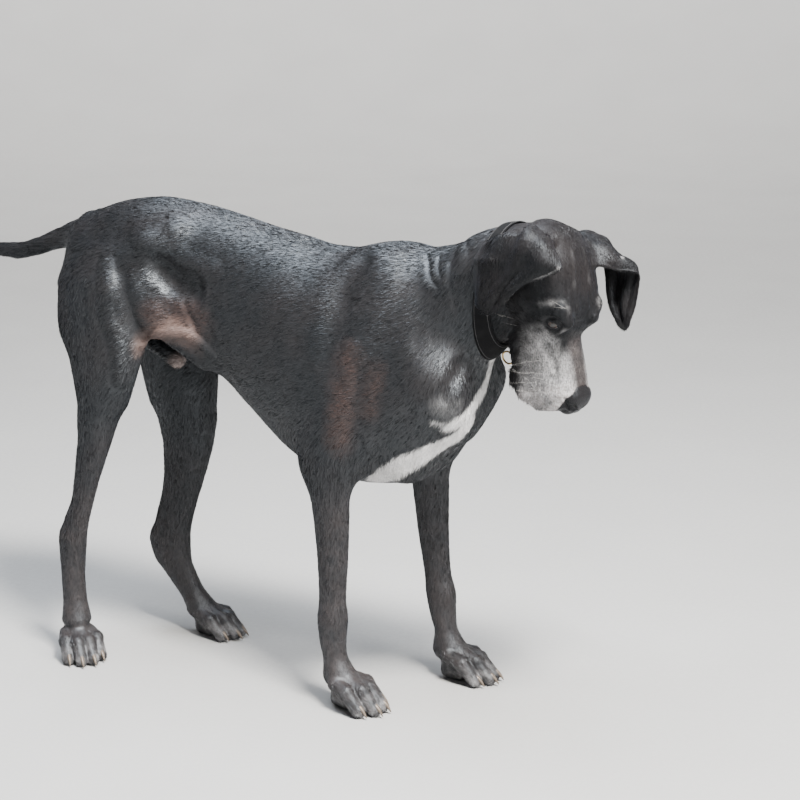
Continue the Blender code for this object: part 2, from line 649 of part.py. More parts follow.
FLOOR = ((0, 0, 0), (0, 0, 1))
NECK_CUT = ((0.075, 0, 0.860), (0.93, 0, 0.364))
HEAD_CUT = ((0.254, 0, 0.800), (0.985, -0.06, -0.16))
TAIL_CUT = ((-0.708, 0, 0.815), (-0.99, 0, 0.12))
FORE_CUT = {-1: ((-0.08, -0.055, 0.400), (0.06, -0.82, -0.572)), 1: ((0.0, 0.055, 0.400), (0.06, 0.82, -0.572))}
HIND_CUT = ((-0.440, 0, 0.545), (-0.484, 0, -0.875))
MIDDLE_CUT = {-1: ((0, -0.001, 0), (0, -1, 0)), 1: ((0, 0.001, 0), (0, 1, 0))}


def boolean(piece, other, operation):
    """The piece joined with or cut by another, which stays as it is."""
    modifier = piece.modifiers.new(operation.title(), "BOOLEAN")
    modifier.operation = operation
    modifier.solver = "EXACT"
    modifier.object = other
    baked(piece)
    shape = bmesh.new()
    shape.from_mesh(piece.data)
    bmesh.ops.remove_doubles(shape, verts=shape.verts[:], dist=2e-5)
    bmesh.ops.triangulate(shape, faces=shape.faces[:])
    largest_body(shape)
    shape.to_mesh(piece.data)
    shape.free()
    return piece


def swollen(piece, by):
    """A copy of the piece with its surface moved outwards."""
    copy = new_object(piece.name + "_swollen", [v.co + v.normal * by for v in piece.data.vertices], [])
    faces = [tuple(face.vertices) for face in piece.data.polygons]
    points = [tuple(v.co) for v in copy.data.vertices]
    bpy.data.objects.remove(copy, do_unlink=True)
    return new_object(piece.name + "_swollen", points, faces)


def cut_and_drop(piece, cutter):
    boolean(piece, cutter, "DIFFERENCE")
    bpy.data.objects.remove(cutter, do_unlink=True)


def make_flesh():
    points, faces = wrapped(FORMS["whole"], (-1.215, -0.215, -0.03), (0.33, 0.215, 0.97), BODY_CELL)
    body = thinned(new_object("body_whole", points, faces), BODY_FACES)
    points, faces = wrapped(FORMS["whole"], (0.21, -0.20, 0.50), (0.50, 0.11, 0.97), HEAD_CELL)
    head = thinned(new_object("head_whole", points, faces), HEAD_FACES)
    pieces = {"head": cut_piece("head", head, [facing(*HEAD_CUT)])}
    pieces["neck"] = cut_piece("neck", body, [facing(*HEAD_CUT, -1), facing(*NECK_CUT)])
    pieces["tail"] = cut_piece("tail", body, [facing(*TAIL_CUT)])
    for side, word in ((-1, "right"), (1, "left")):
        fore, hind = f"foreleg_{word}", f"hindleg_{word}"
        pieces[fore] = cut_piece(fore, body, [FLOOR, facing(*FORE_CUT[side])])
        pieces[hind] = cut_piece(hind, body, [FLOOR, facing(*HIND_CUT), MIDDLE_CUT[side]])
    trunk = [facing(*NECK_CUT, -1), facing(*TAIL_CUT, -1), facing(*HIND_CUT, -1)]
    trunk += [facing(*FORE_CUT[side], -1) for side in (-1, 1)]
    pieces["torso"] = cut_piece("torso", body, trunk)
    for whole in (body, head):
        bpy.data.objects.remove(whole, do_unlink=True)
    return pieces


def make_claws(pieces):
    """A curved, tapered claw on each toe, joined to its leg."""
    for name, paw in PAWS.items():
        for start, end in claw_seats(*paw):
            shape = bmesh.new()
            bmesh.ops.create_cone(shape, cap_ends=True, segments=7, radius1=0.0052, radius2=0.0014, depth=CLAW_LENGTH)
            claw = bpy.data.objects.new("claw", bpy.data.meshes.new("claw"))
            shape.to_mesh(claw.data)
            shape.free()
            bpy.context.scene.collection.objects.link(claw)
            turn = Vector(end - start).to_track_quat("Z", "Y").to_matrix().to_4x4()
            claw.data.transform(Matrix.Translation((start + end) / 2) @ turn)
            boolean(pieces[name], claw, "UNION")
            bpy.data.objects.remove(claw, do_unlink=True)


def make_eyes(pieces):
    for side, word in ((1, "right"), (-1, "left")):
        middle = on_head(EYE_AT[0], EYE_AT[1], EYE_AT[2] * side)
        for name, radius in (("cutter", EYE_RADIUS + 2 * GAP), (f"eye_{word}", EYE_RADIUS)):
            shape = bmesh.new()
            bmesh.ops.create_icosphere(shape, subdivisions=3, radius=radius)
            mesh = bpy.data.meshes.new(name)
            shape.to_mesh(mesh)
            shape.free()
            mesh.transform(Matrix.Translation(middle))
            ball = bpy.data.objects.new(name, mesh)
            bpy.context.scene.collection.objects.link(ball)
            if name == "cutter":
                cut_and_drop(pieces["head"], ball)
            else:
                pieces[name] = ball


def ear_sheet(rows, side, along, across):
    """Points of an ear's middle surface, on smooth curves through its rows."""
    rows = np.array(rows, float)
    places = np.linspace(0, 2, across + 1)
    lines = [between(np.column_stack([np.arange(3.0), row]), places) for row in rows]
    down = np.linspace(0, len(rows) - 1, along + 1)
    stacked = np.column_stack([np.arange(float(len(rows))), np.array(lines).reshape(len(rows), -1)])
    sheet = between(stacked, down).reshape(along + 1, across + 1, 3)
    sheet[:, :, 2] *= side
    return np.array(HEAD_AT) + sheet @ head_frame()


def thick_sheet(name, sheet, thick):
    """A closed sheet, rounded to half its thickness along its free margins."""
    down, over = np.gradient(sheet, axis=0), np.gradient(sheet, axis=1)
    normal = np.cross(down, over)
    normal /= np.linalg.norm(normal, axis=2, keepdims=True)
    n, m = sheet.shape[:2]
    half = np.full((n, m), thick / 2)
    half[:, [0, -1]] *= 0.5
    half[-1] *= 0.5
    front, back = sheet + normal * half[:, :, None], sheet - normal * half[:, :, None]
    points = np.concatenate([front.reshape(-1, 3), back.reshape(-1, 3)])
    faces = []
    for i in range(n - 1):
        for j in range(m - 1):
            a, b, c, d = i * m + j, i * m + j + 1, (i + 1) * m + j + 1, (i + 1) * m + j
            faces += [(a, b, c), (a, c, d)]
            faces += [(n * m + c, n * m + b, n * m + a), (n * m + d, n * m + c, n * m + a)]
    rim = [j for j in range(m)] + [i * m + m - 1 for i in range(1, n)]
    rim += [(n - 1) * m + j for j in range(m - 2, -1, -1)] + [i * m for i in range(n - 2, 0, -1)]
    for a, b in zip(rim, rim[1:] + rim[:1]):
        faces.append((b, a, n * m + a, n * m + b))
    piece = new_object(name, points, faces)
    shape = bmesh.new()
    shape.from_mesh(piece.data)
    bmesh.ops.recalc_face_normals(shape, faces=shape.faces[:])
    bmesh.ops.triangulate(shape, faces=shape.faces[:])
    shape.to_mesh(piece.data)
    shape.free()
    return piece


def make_ears(pieces):
    for rows, side, word in ((EAR_RIGHT, 1, "right"), (EAR_LEFT, -1, "left")):
        ear = thick_sheet(f"ear_{word}", ear_sheet(rows, side, 16, 10), EAR_THICK)
        for near in ("head", "neck"):
            cut_and_drop(ear, swollen(pieces[near], 1.6 * GAP))
        cut_and_drop(ear, ring_piece("cutter", collar_rings(2 * GAP)))
        pieces[ear.name] = ear


def collar_rings(lift):
    """Loops of the collar: its inner and outer face at each edge, round the neck."""
    centre, along = np.array(COLLAR_AT), unit(COLLAR_ALONG)
    up = unit(np.cross(along, (0, 1, 0)))
    side = np.cross(along, up)
    angles = np.linspace(0, 2 * math.pi, COLLAR_SIDES, endpoint=False)
    rays = np.outer(np.cos(angles), up) + np.outer(np.sin(angles), side)
    loops = []
    for shift in (-0.5, 0, 0.5):
        start = centre + shift * COLLAR_WIDTH * along
        reach = np.full(COLLAR_SIDES, 0.16)
        for _ in range(60):
            reach -= np.minimum(distance(start + reach[:, None] * rays, FORMS["body"]), 0.02)
        # The strap is taut: it bridges hollows of the throat
        for _ in range(4):
            reach = np.maximum(reach, (np.roll(reach, 1) + np.roll(reach, -1)) / 2)
        loops.append((start, rays, reach))
    inner = [start + (reach - lift)[:, None] * rays for start, rays, reach in loops]
    outer = [start + (reach + COLLAR_THICK + lift)[:, None] * rays for start, rays, reach in loops]
    return inner + outer[::-1]


def ring_piece(name, loops):
    """A closed ring through loops of points that go round its section."""
    count = len(loops[0])
    faces = []
    for k in range(len(loops)):
        following = (k + 1) % len(loops)
        for i in range(count):
            j = (i + 1) % count
            faces.append((k * count + i, k * count + j, following * count + j, following * count + i))
    piece = new_object(name, np.concatenate(loops), faces)
    shape = bmesh.new()
    shape.from_mesh(piece.data)
    bmesh.ops.recalc_face_normals(shape, faces=shape.faces[:])
    bmesh.ops.triangulate(shape, faces=shape.faces[:])
    shape.to_mesh(piece.data)
    shape.free()
    return piece


def make_collar(pieces):
    pieces["collar"] = ring_piece("collar", collar_rings(0.0))
    cut_and_drop(pieces["neck"], ring_piece("cutter", collar_rings(2 * GAP)))
    strap = np.array(collar_rings(0.0))
    throat = int(np.argmin(strap[4, :, 2]))
    along = unit(strap[3, throat] - strap[5, throat])
    outward = strap[4, throat] - strap[1, throat]
    outward = unit(outward - (outward @ along) * along)
    highest = strap[3:, throat][np.argmax(strap[3:, throat] @ outward)]
    on_strap = strap[4, throat] + ((highest - strap[4, throat]) @ outward + 2 * GAP) * outward
    pieces["collar_ring"] = ring_loop("collar_ring", on_strap, outward, along)


def ring_loop(name, on_strap, outward, along):
    """The metal ring that hangs under the throat, edge on to the strap."""
    middle = on_strap + outward * (RING_RADIUS + RING_WIRE)
    turns = np.linspace(0, 2 * math.pi, 20, endpoint=False)
    across = np.cross(outward, along)
    spokes = np.outer(np.cos(turns), outward) + np.outer(np.sin(turns), along)
    section = np.linspace(0, 2 * math.pi, 6, endpoint=False)
    loops = [
        middle + spokes * (RING_RADIUS + RING_WIRE * math.cos(angle)) + across * RING_WIRE * math.sin(angle)
        for angle in section
    ]
    return ring_piece(name, loops)


def finish(pieces):
    """Gives each piece its material and sets the frame's origin under the middle of the whole."""
    colours = {
        "coat": ((0.022, 0.022, 0.026), 0.42, 0.0),
        "eye": ((0.035, 0.018, 0.010), 0.08, 0.0),
        "strap": ((0.012, 0.012, 0.013), 0.55, 0.0),
        "ring": ((0.62, 0.46, 0.20), 0.30, 1.0),
    }
    slots = {"eye_right": "eye", "eye_left": "eye", "collar": "strap", "collar_ring": "ring"}
    for slot, (colour, roughness, metallic) in colours.items():
        material = bpy.data.materials.new(slot)
        material.use_nodes = True
        shader = material.node_tree.nodes["Principled BSDF"]
        shader.inputs["Base Color"].default_value = (*colour, 1)
        shader.inputs["Roughness"].default_value = roughness
        shader.inputs["Metallic"].default_value = metallic
    corners = np.array([vertex.co for piece in pieces.values() for vertex in piece.data.vertices])
    middle = (corners.min(axis=0) + corners.max(axis=0)) / 2
    for name, piece in pieces.items():
        piece.data.transform(Matrix.Translation((-middle[0], -middle[1], 0)))
        piece.data.materials.clear()
        piece.data.materials.append(bpy.data.materials[slots.get(name, "coat")])
        piece.data.shade_smooth()


def main():
    clear_scene()
    pieces = make_flesh()
    make_collar(pieces)
    make_eyes(pieces)
    make_ears(pieces)
    make_claws(pieces)
    finish(pieces)


main()
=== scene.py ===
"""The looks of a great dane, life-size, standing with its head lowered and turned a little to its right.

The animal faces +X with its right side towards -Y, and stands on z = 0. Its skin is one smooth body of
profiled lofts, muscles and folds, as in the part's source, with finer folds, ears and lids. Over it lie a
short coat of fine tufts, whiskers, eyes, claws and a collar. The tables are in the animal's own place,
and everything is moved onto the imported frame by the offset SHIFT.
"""

import json
import math

import bmesh
import bpy
import numpy as np
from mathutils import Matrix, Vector, noise

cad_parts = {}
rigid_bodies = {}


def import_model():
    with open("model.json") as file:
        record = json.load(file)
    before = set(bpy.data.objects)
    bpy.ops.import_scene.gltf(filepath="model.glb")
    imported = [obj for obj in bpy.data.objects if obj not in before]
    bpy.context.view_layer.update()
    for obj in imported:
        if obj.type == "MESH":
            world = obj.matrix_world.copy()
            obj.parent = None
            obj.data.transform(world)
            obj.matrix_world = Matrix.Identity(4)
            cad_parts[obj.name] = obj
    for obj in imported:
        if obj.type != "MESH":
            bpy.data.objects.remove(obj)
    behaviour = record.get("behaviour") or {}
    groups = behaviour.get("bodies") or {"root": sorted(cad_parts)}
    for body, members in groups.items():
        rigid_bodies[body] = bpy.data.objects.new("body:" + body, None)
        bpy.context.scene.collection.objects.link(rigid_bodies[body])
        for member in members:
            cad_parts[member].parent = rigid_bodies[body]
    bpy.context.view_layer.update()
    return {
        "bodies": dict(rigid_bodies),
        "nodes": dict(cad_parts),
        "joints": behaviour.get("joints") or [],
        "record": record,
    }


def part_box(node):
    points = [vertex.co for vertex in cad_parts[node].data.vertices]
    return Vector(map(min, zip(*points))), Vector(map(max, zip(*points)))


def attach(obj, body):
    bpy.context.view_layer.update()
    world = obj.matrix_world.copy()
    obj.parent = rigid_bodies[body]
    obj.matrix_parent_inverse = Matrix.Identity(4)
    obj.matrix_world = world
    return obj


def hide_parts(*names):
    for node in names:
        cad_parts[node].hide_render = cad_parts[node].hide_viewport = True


bl_info = {
    "name": "Great dane",
    "version": (1, 0, 0),
    "blender": (4, 5, 0),
    "location": "3D View > Sidebar > Great dane",
    "description": "Builds a standing great dane's skin, coat, eyes, claws, whiskers, collar and stage",
    "category": "Add Mesh",
}

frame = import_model()

EYE_RADIUS = 0.0125
FAR = 1.0  # distance given to points that nothing is near
SEED = 12


COLLAR_WIDTH = 0.028
COLLAR_AT = (0.218, -0.030, 0.800)
COLLAR_ALONG = (0.980, -0.171, -0.100)
RING_RADIUS = 0.0115
RING_WIRE = 0.0017
CLAW_LENGTH = 0.015
CAMERA_TURN = math.radians(28)
CAMERA_RISE = math.radians(14)
CAMERA_REACH = 4.2
# Each lamp: name, place, size, power, colour
LIGHTS = (
    ("key", (2.2, -1.4, 4.5), (1.0, 1.0), 1250, (1.0, 0.97, 0.92)),
    ("top", (-0.4, -0.1, 3.7), (3.0, 1.2), 320, (0.86, 0.92, 1.0)),
    ("front", (3.4, -1.0, 2.3), (1.2, 1.8), 220, (1.0, 0.98, 0.95)),
    ("left", (-3.4, -2.4, 2.0), (1.8, 1.8), 12, (0.92, 0.95, 1.0)),
)
# Each lamp of the studio's wall: name, turn from the camera's own way, power
WALL_LIGHTS = (("wall_back", 0.0, 600), ("wall_left", math.pi / 2, 420), ("wall_front", math.pi, 420), ("wall_right", -math.pi / 2, 420))

# Topline, middle, underline and half width of the trunk: x, top, middle, bottom, half width
TRUNK = (
    (-0.665, 0.862, 0.765, 0.680, 0.062),
    (-0.600, 0.886, 0.765, 0.655, 0.093),
    (-0.520, 0.900, 0.760, 0.648, 0.102),
    (-0.430, 0.895, 0.740, 0.622, 0.098),
    (-0.350, 0.881, 0.710, 0.568, 0.105),
    (-0.280, 0.865, 0.670, 0.509, 0.120),
    (-0.200, 0.850, 0.640, 0.443, 0.132),
    (-0.140, 0.839, 0.620, 0.413, 0.137),
    (-0.060, 0.838, 0.620, 0.405, 0.135),
    (0.020, 0.842, 0.620, 0.413, 0.127),
    (0.080, 0.820, 0.620, 0.445, 0.112),
    (0.120, 0.760, 0.605, 0.495, 0.088),
)
# Along the neck: distance from its root, nape side, throat side, half width, rise of the middle, shift to the left
NECK_ROOT = (0.030, 0.0, 0.700)
NECK_PITCH = math.radians(36)
NECK = (
    (-0.050, 0.140, 0.150, 0.110, 0.000, 0.000),
    (0.000, 0.163, 0.165, 0.108, 0.000, 0.000),
    (0.110, 0.106, 0.125, 0.090, 0.000, -0.004),
    (0.200, 0.076, 0.110, 0.077, 0.000, -0.012),
    (0.270, 0.080, 0.082, 0.070, -0.020, -0.022),
    (0.325, 0.070, 0.060, 0.060, -0.036, -0.030),
)
# Down each leg: height, x, y, half length fore and aft, half width, turn of the section
HIND_RIGHT = (
    (0.800, -0.560, -0.062, 0.088, 0.045, 0),
    (0.740, -0.576, -0.080, 0.110, 0.058, 0),
    (0.657, -0.587, -0.092, 0.098, 0.057, 0),
    (0.598, -0.584, -0.097, 0.079, 0.052, -5),
    (0.520, -0.587, -0.103, 0.058, 0.044, -12),
    (0.479, -0.598, -0.106, 0.047, 0.037, -20),
    (0.438, -0.606, -0.108, 0.042, 0.030, -25),
    (0.397, -0.616, -0.110, 0.039, 0.026, -30),
    (0.356, -0.627, -0.110, 0.036, 0.0225, -35),
    (0.314, -0.638, -0.110, 0.033, 0.020, -35),
    (0.270, -0.655, -0.108, 0.037, 0.022, -35),
    (0.232, -0.667, -0.106, 0.040, 0.0255, -35),
    (0.197, -0.668, -0.107, 0.032, 0.025, -36),
    (0.160, -0.667, -0.109, 0.0265, 0.0235, -38),
    (0.115, -0.663, -0.112, 0.0240, 0.0240, -40),
    (0.075, -0.656, -0.118, 0.0260, 0.0290, -40),
)
HIND_LEFT = (
    (0.800, -0.550, 0.062, 0.088, 0.045, 0),
    (0.740, -0.556, 0.080, 0.108, 0.058, 0),
    (0.640, -0.550, 0.092, 0.098, 0.057, 0),
    (0.560, -0.546, 0.098, 0.088, 0.052, 0),
    (0.479, -0.540, 0.100, 0.076, 0.043, 0),
    (0.439, -0.531, 0.100, 0.066, 0.037, 0),
    (0.398, -0.530, 0.100, 0.058, 0.031, 0),
    (0.356, -0.535, 0.100, 0.051, 0.027, 0),
    (0.314, -0.543, 0.100, 0.045, 0.024, 0),
    (0.271, -0.555, 0.100, 0.042, 0.0215, 0),
    (0.227, -0.568, 0.100, 0.042, 0.022, 0),
    (0.186, -0.578, 0.100, 0.047, 0.025, 0),
    (0.150, -0.573, 0.100, 0.043, 0.0245, 0),
    (0.119, -0.554, 0.100, 0.036, 0.023, 0),
    (0.085, -0.530, 0.100, 0.030, 0.023, 0),
    (0.055, -0.505, 0.100, 0.028, 0.028, 0),
)
FORE_RIGHT = (
    (0.560, -0.060, -0.098, 0.070, 0.044, 0),
    (0.500, -0.080, -0.106, 0.056, 0.042, 0),
    (0.450, -0.086, -0.112, 0.045, 0.037, 0),
    (0.410, -0.084, -0.114, 0.039, 0.032, 0),
    (0.350, -0.080, -0.115, 0.0345, 0.0285, -3),
    (0.280, -0.078, -0.115, 0.0300, 0.0255, -5),
    (0.205, -0.079, -0.115, 0.0262, 0.0238, -5),
    (0.165, -0.079, -0.115, 0.0290, 0.0285, -5),
    (0.130, -0.079, -0.115, 0.0262, 0.0262, -5),
    (0.095, -0.074, -0.116, 0.0225, 0.0250, -5),
    (0.062, -0.062, -0.117, 0.0240, 0.0300, -5),
)
FORE_LEFT = (
    (0.560, 0.015, 0.098, 0.070, 0.044, 0),
    (0.500, 0.006, 0.106, 0.056, 0.042, 0),
    (0.450, 0.002, 0.110, 0.045, 0.037, 0),
    (0.410, 0.004, 0.112, 0.039, 0.032, 0),
    (0.350, 0.008, 0.112, 0.0345, 0.0285, 3),
    (0.280, 0.013, 0.112, 0.0300, 0.0255, 4),
    (0.205, 0.022, 0.112, 0.0262, 0.0238, 4),
    (0.165, 0.029, 0.112, 0.0290, 0.0285, 4),
    (0.130, 0.033, 0.112, 0.0262, 0.0262, 4),
    (0.095, 0.040, 0.112, 0.0225, 0.0250, 4),
    (0.062, 0.052, 0.112, 0.0240, 0.0300, 4),
)
# Each paw: the middle of its print, its turn in degrees, and its size against a forepaw
PAWS = {
    "foreleg_right": ((-0.036, -0.119), -6, 1.00),
    "foreleg_left": ((0.078, 0.112), 5, 1.00),
    "hindleg_right": ((-0.638, -0.134), -40, 0.93),
    "hindleg_left": ((-0.476, 0.100), 2, 0.93),
}
# Along the tail from the rump: x, height, shift, radius
TAIL = (
    (-1.180, 0.872, 0.012, 0.0050),
    (-1.120, 0.834, 0.010, 0.0075),
    (-1.050, 0.800, 0.006, 0.0095),
    (-0.970, 0.777, 0.002, 0.0115),
    (-0.900, 0.768, 0.000, 0.0135),
    (-0.850, 0.770, 0.000, 0.0158),
    (-0.800, 0.783, 0.000, 0.0180),
    (-0.750, 0.802, 0.000, 0.0215),
    (-0.700, 0.815, 0.000, 0.0300),
    (-0.650, 0.815, 0.000, 0.0420),
)
# The head's own frame starts at the back of the skull: forward along the nose, up, and out to either side
HEAD_AT = (0.351, -0.035, 0.926)
HEAD_PITCH = math.radians(78)
HEAD_YAW = math.radians(17)
# Along the head: forward, top, middle, bottom, half width
SKULL = (
    (0.036, -0.014, -0.048, -0.100, 0.050),
    (0.060, -0.003, -0.050, -0.114, 0.063),
    (0.090, 0.002, -0.052, -0.122, 0.070),
    (0.120, 0.003, -0.055, -0.126, 0.071),
    (0.146, 0.000, -0.056, -0.128, 0.062),
    (0.172, -0.016, -0.058, -0.128, 0.047),
)
MUZZLE = (
    (0.135, -0.016, -0.058, -0.124, 0.036),
    (0.170, -0.026, -0.064, -0.132, 0.0345),
    (0.210, -0.030, -0.074, -0.142, 0.0345),
    (0.255, -0.028, -0.078, -0.147, 0.0365),
    (0.292, -0.028, -0.078, -0.147, 0.0355),
    (0.308, -0.032, -0.072, -0.134, 0.0310),
)
EYE_AT = (0.163, -0.035, 0.0405)  # the middle of each eyeball on the head
EYE_LOOKS = (0.50, 0.30, 0.81)
# Each ear hangs in rows from its root to its tip, front, middle and rear: forward, up, out
EAR_RIGHT = (
    ((0.030, -0.016, 0.046), (0.018, -0.046, 0.052), (0.030, -0.082, 0.058)),
    ((0.028, 0.006, 0.064), (-0.002, -0.030, 0.078), (0.012, -0.088, 0.080)),
    ((0.044, 0.026, 0.080), (0.004, -0.022, 0.108), (0.018, -0.112, 0.102)),
    ((0.070, 0.037, 0.088), (0.036, -0.030, 0.120), (0.046, -0.136, 0.108)),
    ((0.080, 0.004, 0.094), (0.066, -0.046, 0.118), (0.070, -0.154, 0.107)),
    ((0.086, -0.034, 0.103), (0.092, -0.078, 0.116), (0.092, -0.158, 0.106)),
    ((0.104, -0.066, 0.105), (0.116, -0.104, 0.111), (0.112, -0.156, 0.106)),
    ((0.116, -0.084, 0.106), (0.131, -0.116, 0.109), (0.122, -0.148, 0.106)),
)
EAR_LEFT = (
    ((0.076, -0.006, 0.044), (0.044, -0.026, 0.050), (0.030, -0.060, 0.054)),
    ((0.084, 0.012, 0.066), (0.046, -0.008, 0.074), (0.026, -0.050, 0.078)),
    ((0.092, 0.026, 0.088), (0.056, 0.000, 0.098), (0.030, -0.044, 0.100)),
    ((0.102, 0.036, 0.108), (0.084, 0.004, 0.114), (0.070, -0.040, 0.114)),
    ((0.112, 0.034, 0.112), (0.112, 0.002, 0.119), (0.104, -0.038, 0.116)),
    ((0.136, 0.024, 0.111), (0.138, -0.006, 0.116), (0.134, -0.036, 0.112)),
    ((0.168, 0.010, 0.110), (0.170, -0.010, 0.112), (0.166, -0.030, 0.109)),
    ((0.192, 0.001, 0.108), (0.199, -0.010, 0.109), (0.190, -0.022, 0.108)),
)
# The smooth body: every form takes points and the distance so far, and gives the distance with itself added


def unit(vector):
    vector = np.asarray(vector, float)
    return vector / np.linalg.norm(vector)


def between(rows, at):
    """The rows' values at places along their first column, on smooth curves that never overshoot."""
    rows = np.array(rows, float)
    rows = rows[np.argsort(rows[:, 0])]
    place, value = rows[:, 0], rows[:, 1:]
    step = np.diff(place)[:, None]
    slope = np.diff(value, axis=0) / step
    product = slope[1:] * slope[:-1]
    total = np.where(product > 0, slope[1:] + slope[:-1], 1)
    grade = np.vstack([slope[:1], np.where(product > 0, 2 * product / total, 0), slope[-1:]])
    at = np.clip(at, place[0], place[-1])
    i = np.clip(np.searchsorted(place, at) - 1, 0, len(place) - 2)
    t = ((at - place[i]) / step[i, 0])[:, None]
    ease = t * t * (3 - 2 * t)
    bend = t * (1 - t) * step[i] * ((1 - t) * grade[i] - t * grade[i + 1])
    return value[i] + ease * (value[i + 1] - value[i]) + bend


def merged(first, second, blend):
    """A union of two distances with a soft fillet about as wide as blend."""
    share = np.clip(0.5 + 0.5 * (second - first) / blend, 0, 1)
    return second + share * (first - second) - blend * share * (1 - share)


class Form:
    """A piece of flesh or a fold: where it acts, and how it changes the distance there."""

    def __init__(self, corners, margin, change):
        corners = np.asarray(corners, float)
        self.low = corners.min(axis=0) - margin
        self.high = corners.max(axis=0) + margin
        self.change = change


def loft(frame, rows, blend, cap, power=2.0):
    """Flesh along a straight axis of a frame (origin, along, up, side).

    Each row holds: place, middle up, middle side, reach up, reach down, half width, turn in degrees.
    """
    origin, axes = np.array(frame[0], float), np.array([unit(v) for v in frame[1:]])
    rows = np.array(sorted(rows), float)
    first, last = rows[0, 0], rows[-1, 0]

    def change(points, so_far):
        local = (points - origin) @ axes.T
        up0, side0, rise, fall, half, turn = between(rows, local[:, 0]).T
        past = np.maximum(np.maximum(first - local[:, 0], local[:, 0] - last), 0)
        up, side = local[:, 1] - up0, local[:, 2] - side0
        turn = np.radians(turn)
        up, side = up * np.cos(turn) + side * np.sin(turn), side * np.cos(turn) - up * np.sin(turn)
        size = np.where(up > 0, rise, fall)
        share = (np.abs(up / size) ** power + np.abs(side / half) ** power + (past / cap) ** power)
        share = np.maximum(share ** (1 / power), 1e-4)
        length = np.sqrt(up**2 + side**2 + past**2)
        return merged(so_far, length * (1 - 1 / share) - 1e-6, blend)

    wide = np.maximum(rows[:, 3:5].max(axis=1), rows[:, 5])
    corners = [
        origin + axes.T @ [at, up + i * w, side + j * w]
        for at, up, side, w in zip(rows[:, 0], rows[:, 1], rows[:, 2], wide)
        for i in (-1, 1)
        for j in (-1, 1)
    ]
    return Form(corners, blend + cap + 0.02, change)


def muscle(start, end, start_radius, end_radius, blend, flat=1.0, across=(0, 1, 0), carve=False):
    """A tapered, rounded bar of flesh; flat below 1 thins it across the given direction."""
    start, end, across = np.array(start, float), np.array(end, float), unit(across)
    along = end - start
    length2 = max(along @ along, 1e-12)

    def change(points, so_far):
        offset = points - start
        t = np.clip(offset @ along / length2, 0, 1)
        offset = offset - t[:, None] * along
        offset = offset + np.outer(offset @ across, across) * (1 / flat - 1)
        radius = start_radius + t * (end_radius - start_radius)
        length = np.sqrt((offset**2).sum(axis=1))
        apart = (length - radius) * (flat if flat < 1 else 1)
        return -merged(-so_far, apart, blend) if carve else merged(so_far, apart, blend)

    reach = max(start_radius, end_radius)
    return Form([start, end], reach + blend + 0.02, change)


def path_distance(points, path):
    """The distance from each point to a line through the path's points."""
    best = np.full(len(points), FAR)
    for start, end in zip(path[:-1], path[1:]):
        along = end - start
        t = np.clip((points - start) @ along / max(along @ along, 1e-12), 0, 1)
        best = np.minimum(best, np.linalg.norm(points - start - t[:, None] * along, axis=1))
    return best


def curve_through(points, per_span=6):
    """A smooth path through a few points."""
    points = np.array(points, float)
    places = np.arange(len(points), dtype=float)
    return between(np.column_stack([places, points]), np.linspace(0, places[-1], per_span * (len(points) - 1) + 1))


def fold(points, radius, height):
    """A ridge along a path, or a groove where the height is negative."""
    path = curve_through(points) if len(points) > 2 else np.array(points, float)

    def change(spots, so_far):
        near = np.clip(path_distance(spots, path) / radius, 0, 1)
        return so_far - height * (1 - near**2) ** 2

    return Form(path, radius, change)


WORLD_X = ((0, 0, 0), (1, 0, 0), (0, 0, 1), (0, 1, 0))
WORLD_Z = ((0, 0, 0), (0, 0, 1), (1, 0, 0), (0, 1, 0))


def trunk_rows():
    return [(x, mid, 0, top - mid, mid - low, half, 0) for x, top, mid, low, half in TRUNK]


def leg_rows(stations):
    return [(z, x, y, along, along, half, turn) for z, x, y, along, half, turn in stations]


def trunk_forms():
    along = (math.cos(NECK_PITCH), 0, math.sin(NECK_PITCH))
    up = (-math.sin(NECK_PITCH), 0, math.cos(NECK_PITCH))
    neck = [(at, rise, side, nape, throat, half, 0) for at, nape, throat, half, rise, side in NECK]
    forms = [loft(WORLD_X, trunk_rows(), 0.03, 0.045, 2.15)]
    forms.append(loft((NECK_ROOT, along, up, (0, 1, 0)), neck, 0.035, 0.05, 2.1))
    tail = [(x, z, y, radius, radius, radius, 0) for x, z, y, radius in TAIL]
    forms.append(loft(WORLD_X, tail, 0.02, 0.012))
    for side, elbow_x in ((-1, -0.086), (1, 0.002)):
        y = 0.1 * side
        elbow = (elbow_x, 1.1 * y, 0.462)
        forms += [
            # Shoulder blade, its two muscles, the point of the shoulder and the upper arm
            muscle((-0.008, 0.052 * side, 0.782), (0.092, 0.92 * y, 0.625), 0.048, 0.056, 0.05, 0.62),
            muscle((0.098, 0.90 * y, 0.608), elbow, 0.055, 0.045, 0.045, 0.72),
            muscle((-0.035, 0.092 * side, 0.640), elbow, 0.070, 0.042, 0.035, 0.55),
            muscle((elbow_x - 0.034, y * 1.06, 0.452), (elbow_x - 0.012, y * 1.1, 0.42), 0.016, 0.014, 0.018),
            # Breast muscle on each side of the keel
            muscle((0.105, 0.042 * side, 0.575), (0.045, 0.050 * side, 0.475), 0.050, 0.045, 0.03),
            # Hip bone, and the fold of skin from thigh to belly
            muscle((-0.440, 0.062 * side, 0.842), (-0.490, 0.078 * side, 0.822), 0.018, 0.022, 0.050),
            muscle((-0.468, 0.104 * side, 0.690), (-0.372, 0.080 * side, 0.618), 0.026, 0.020, 0.04, 0.6),
            # Seat bone
            muscle((-0.655, 0.045 * side, 0.800), (-0.668, 0.055 * side, 0.740), 0.032, 0.034, 0.03),
        ]
    # Sheath under the groin
    forms.append(muscle((-0.580, 0, 0.640), (-0.484, 0, 0.588), 0.020, 0.0165, 0.012))
    return forms


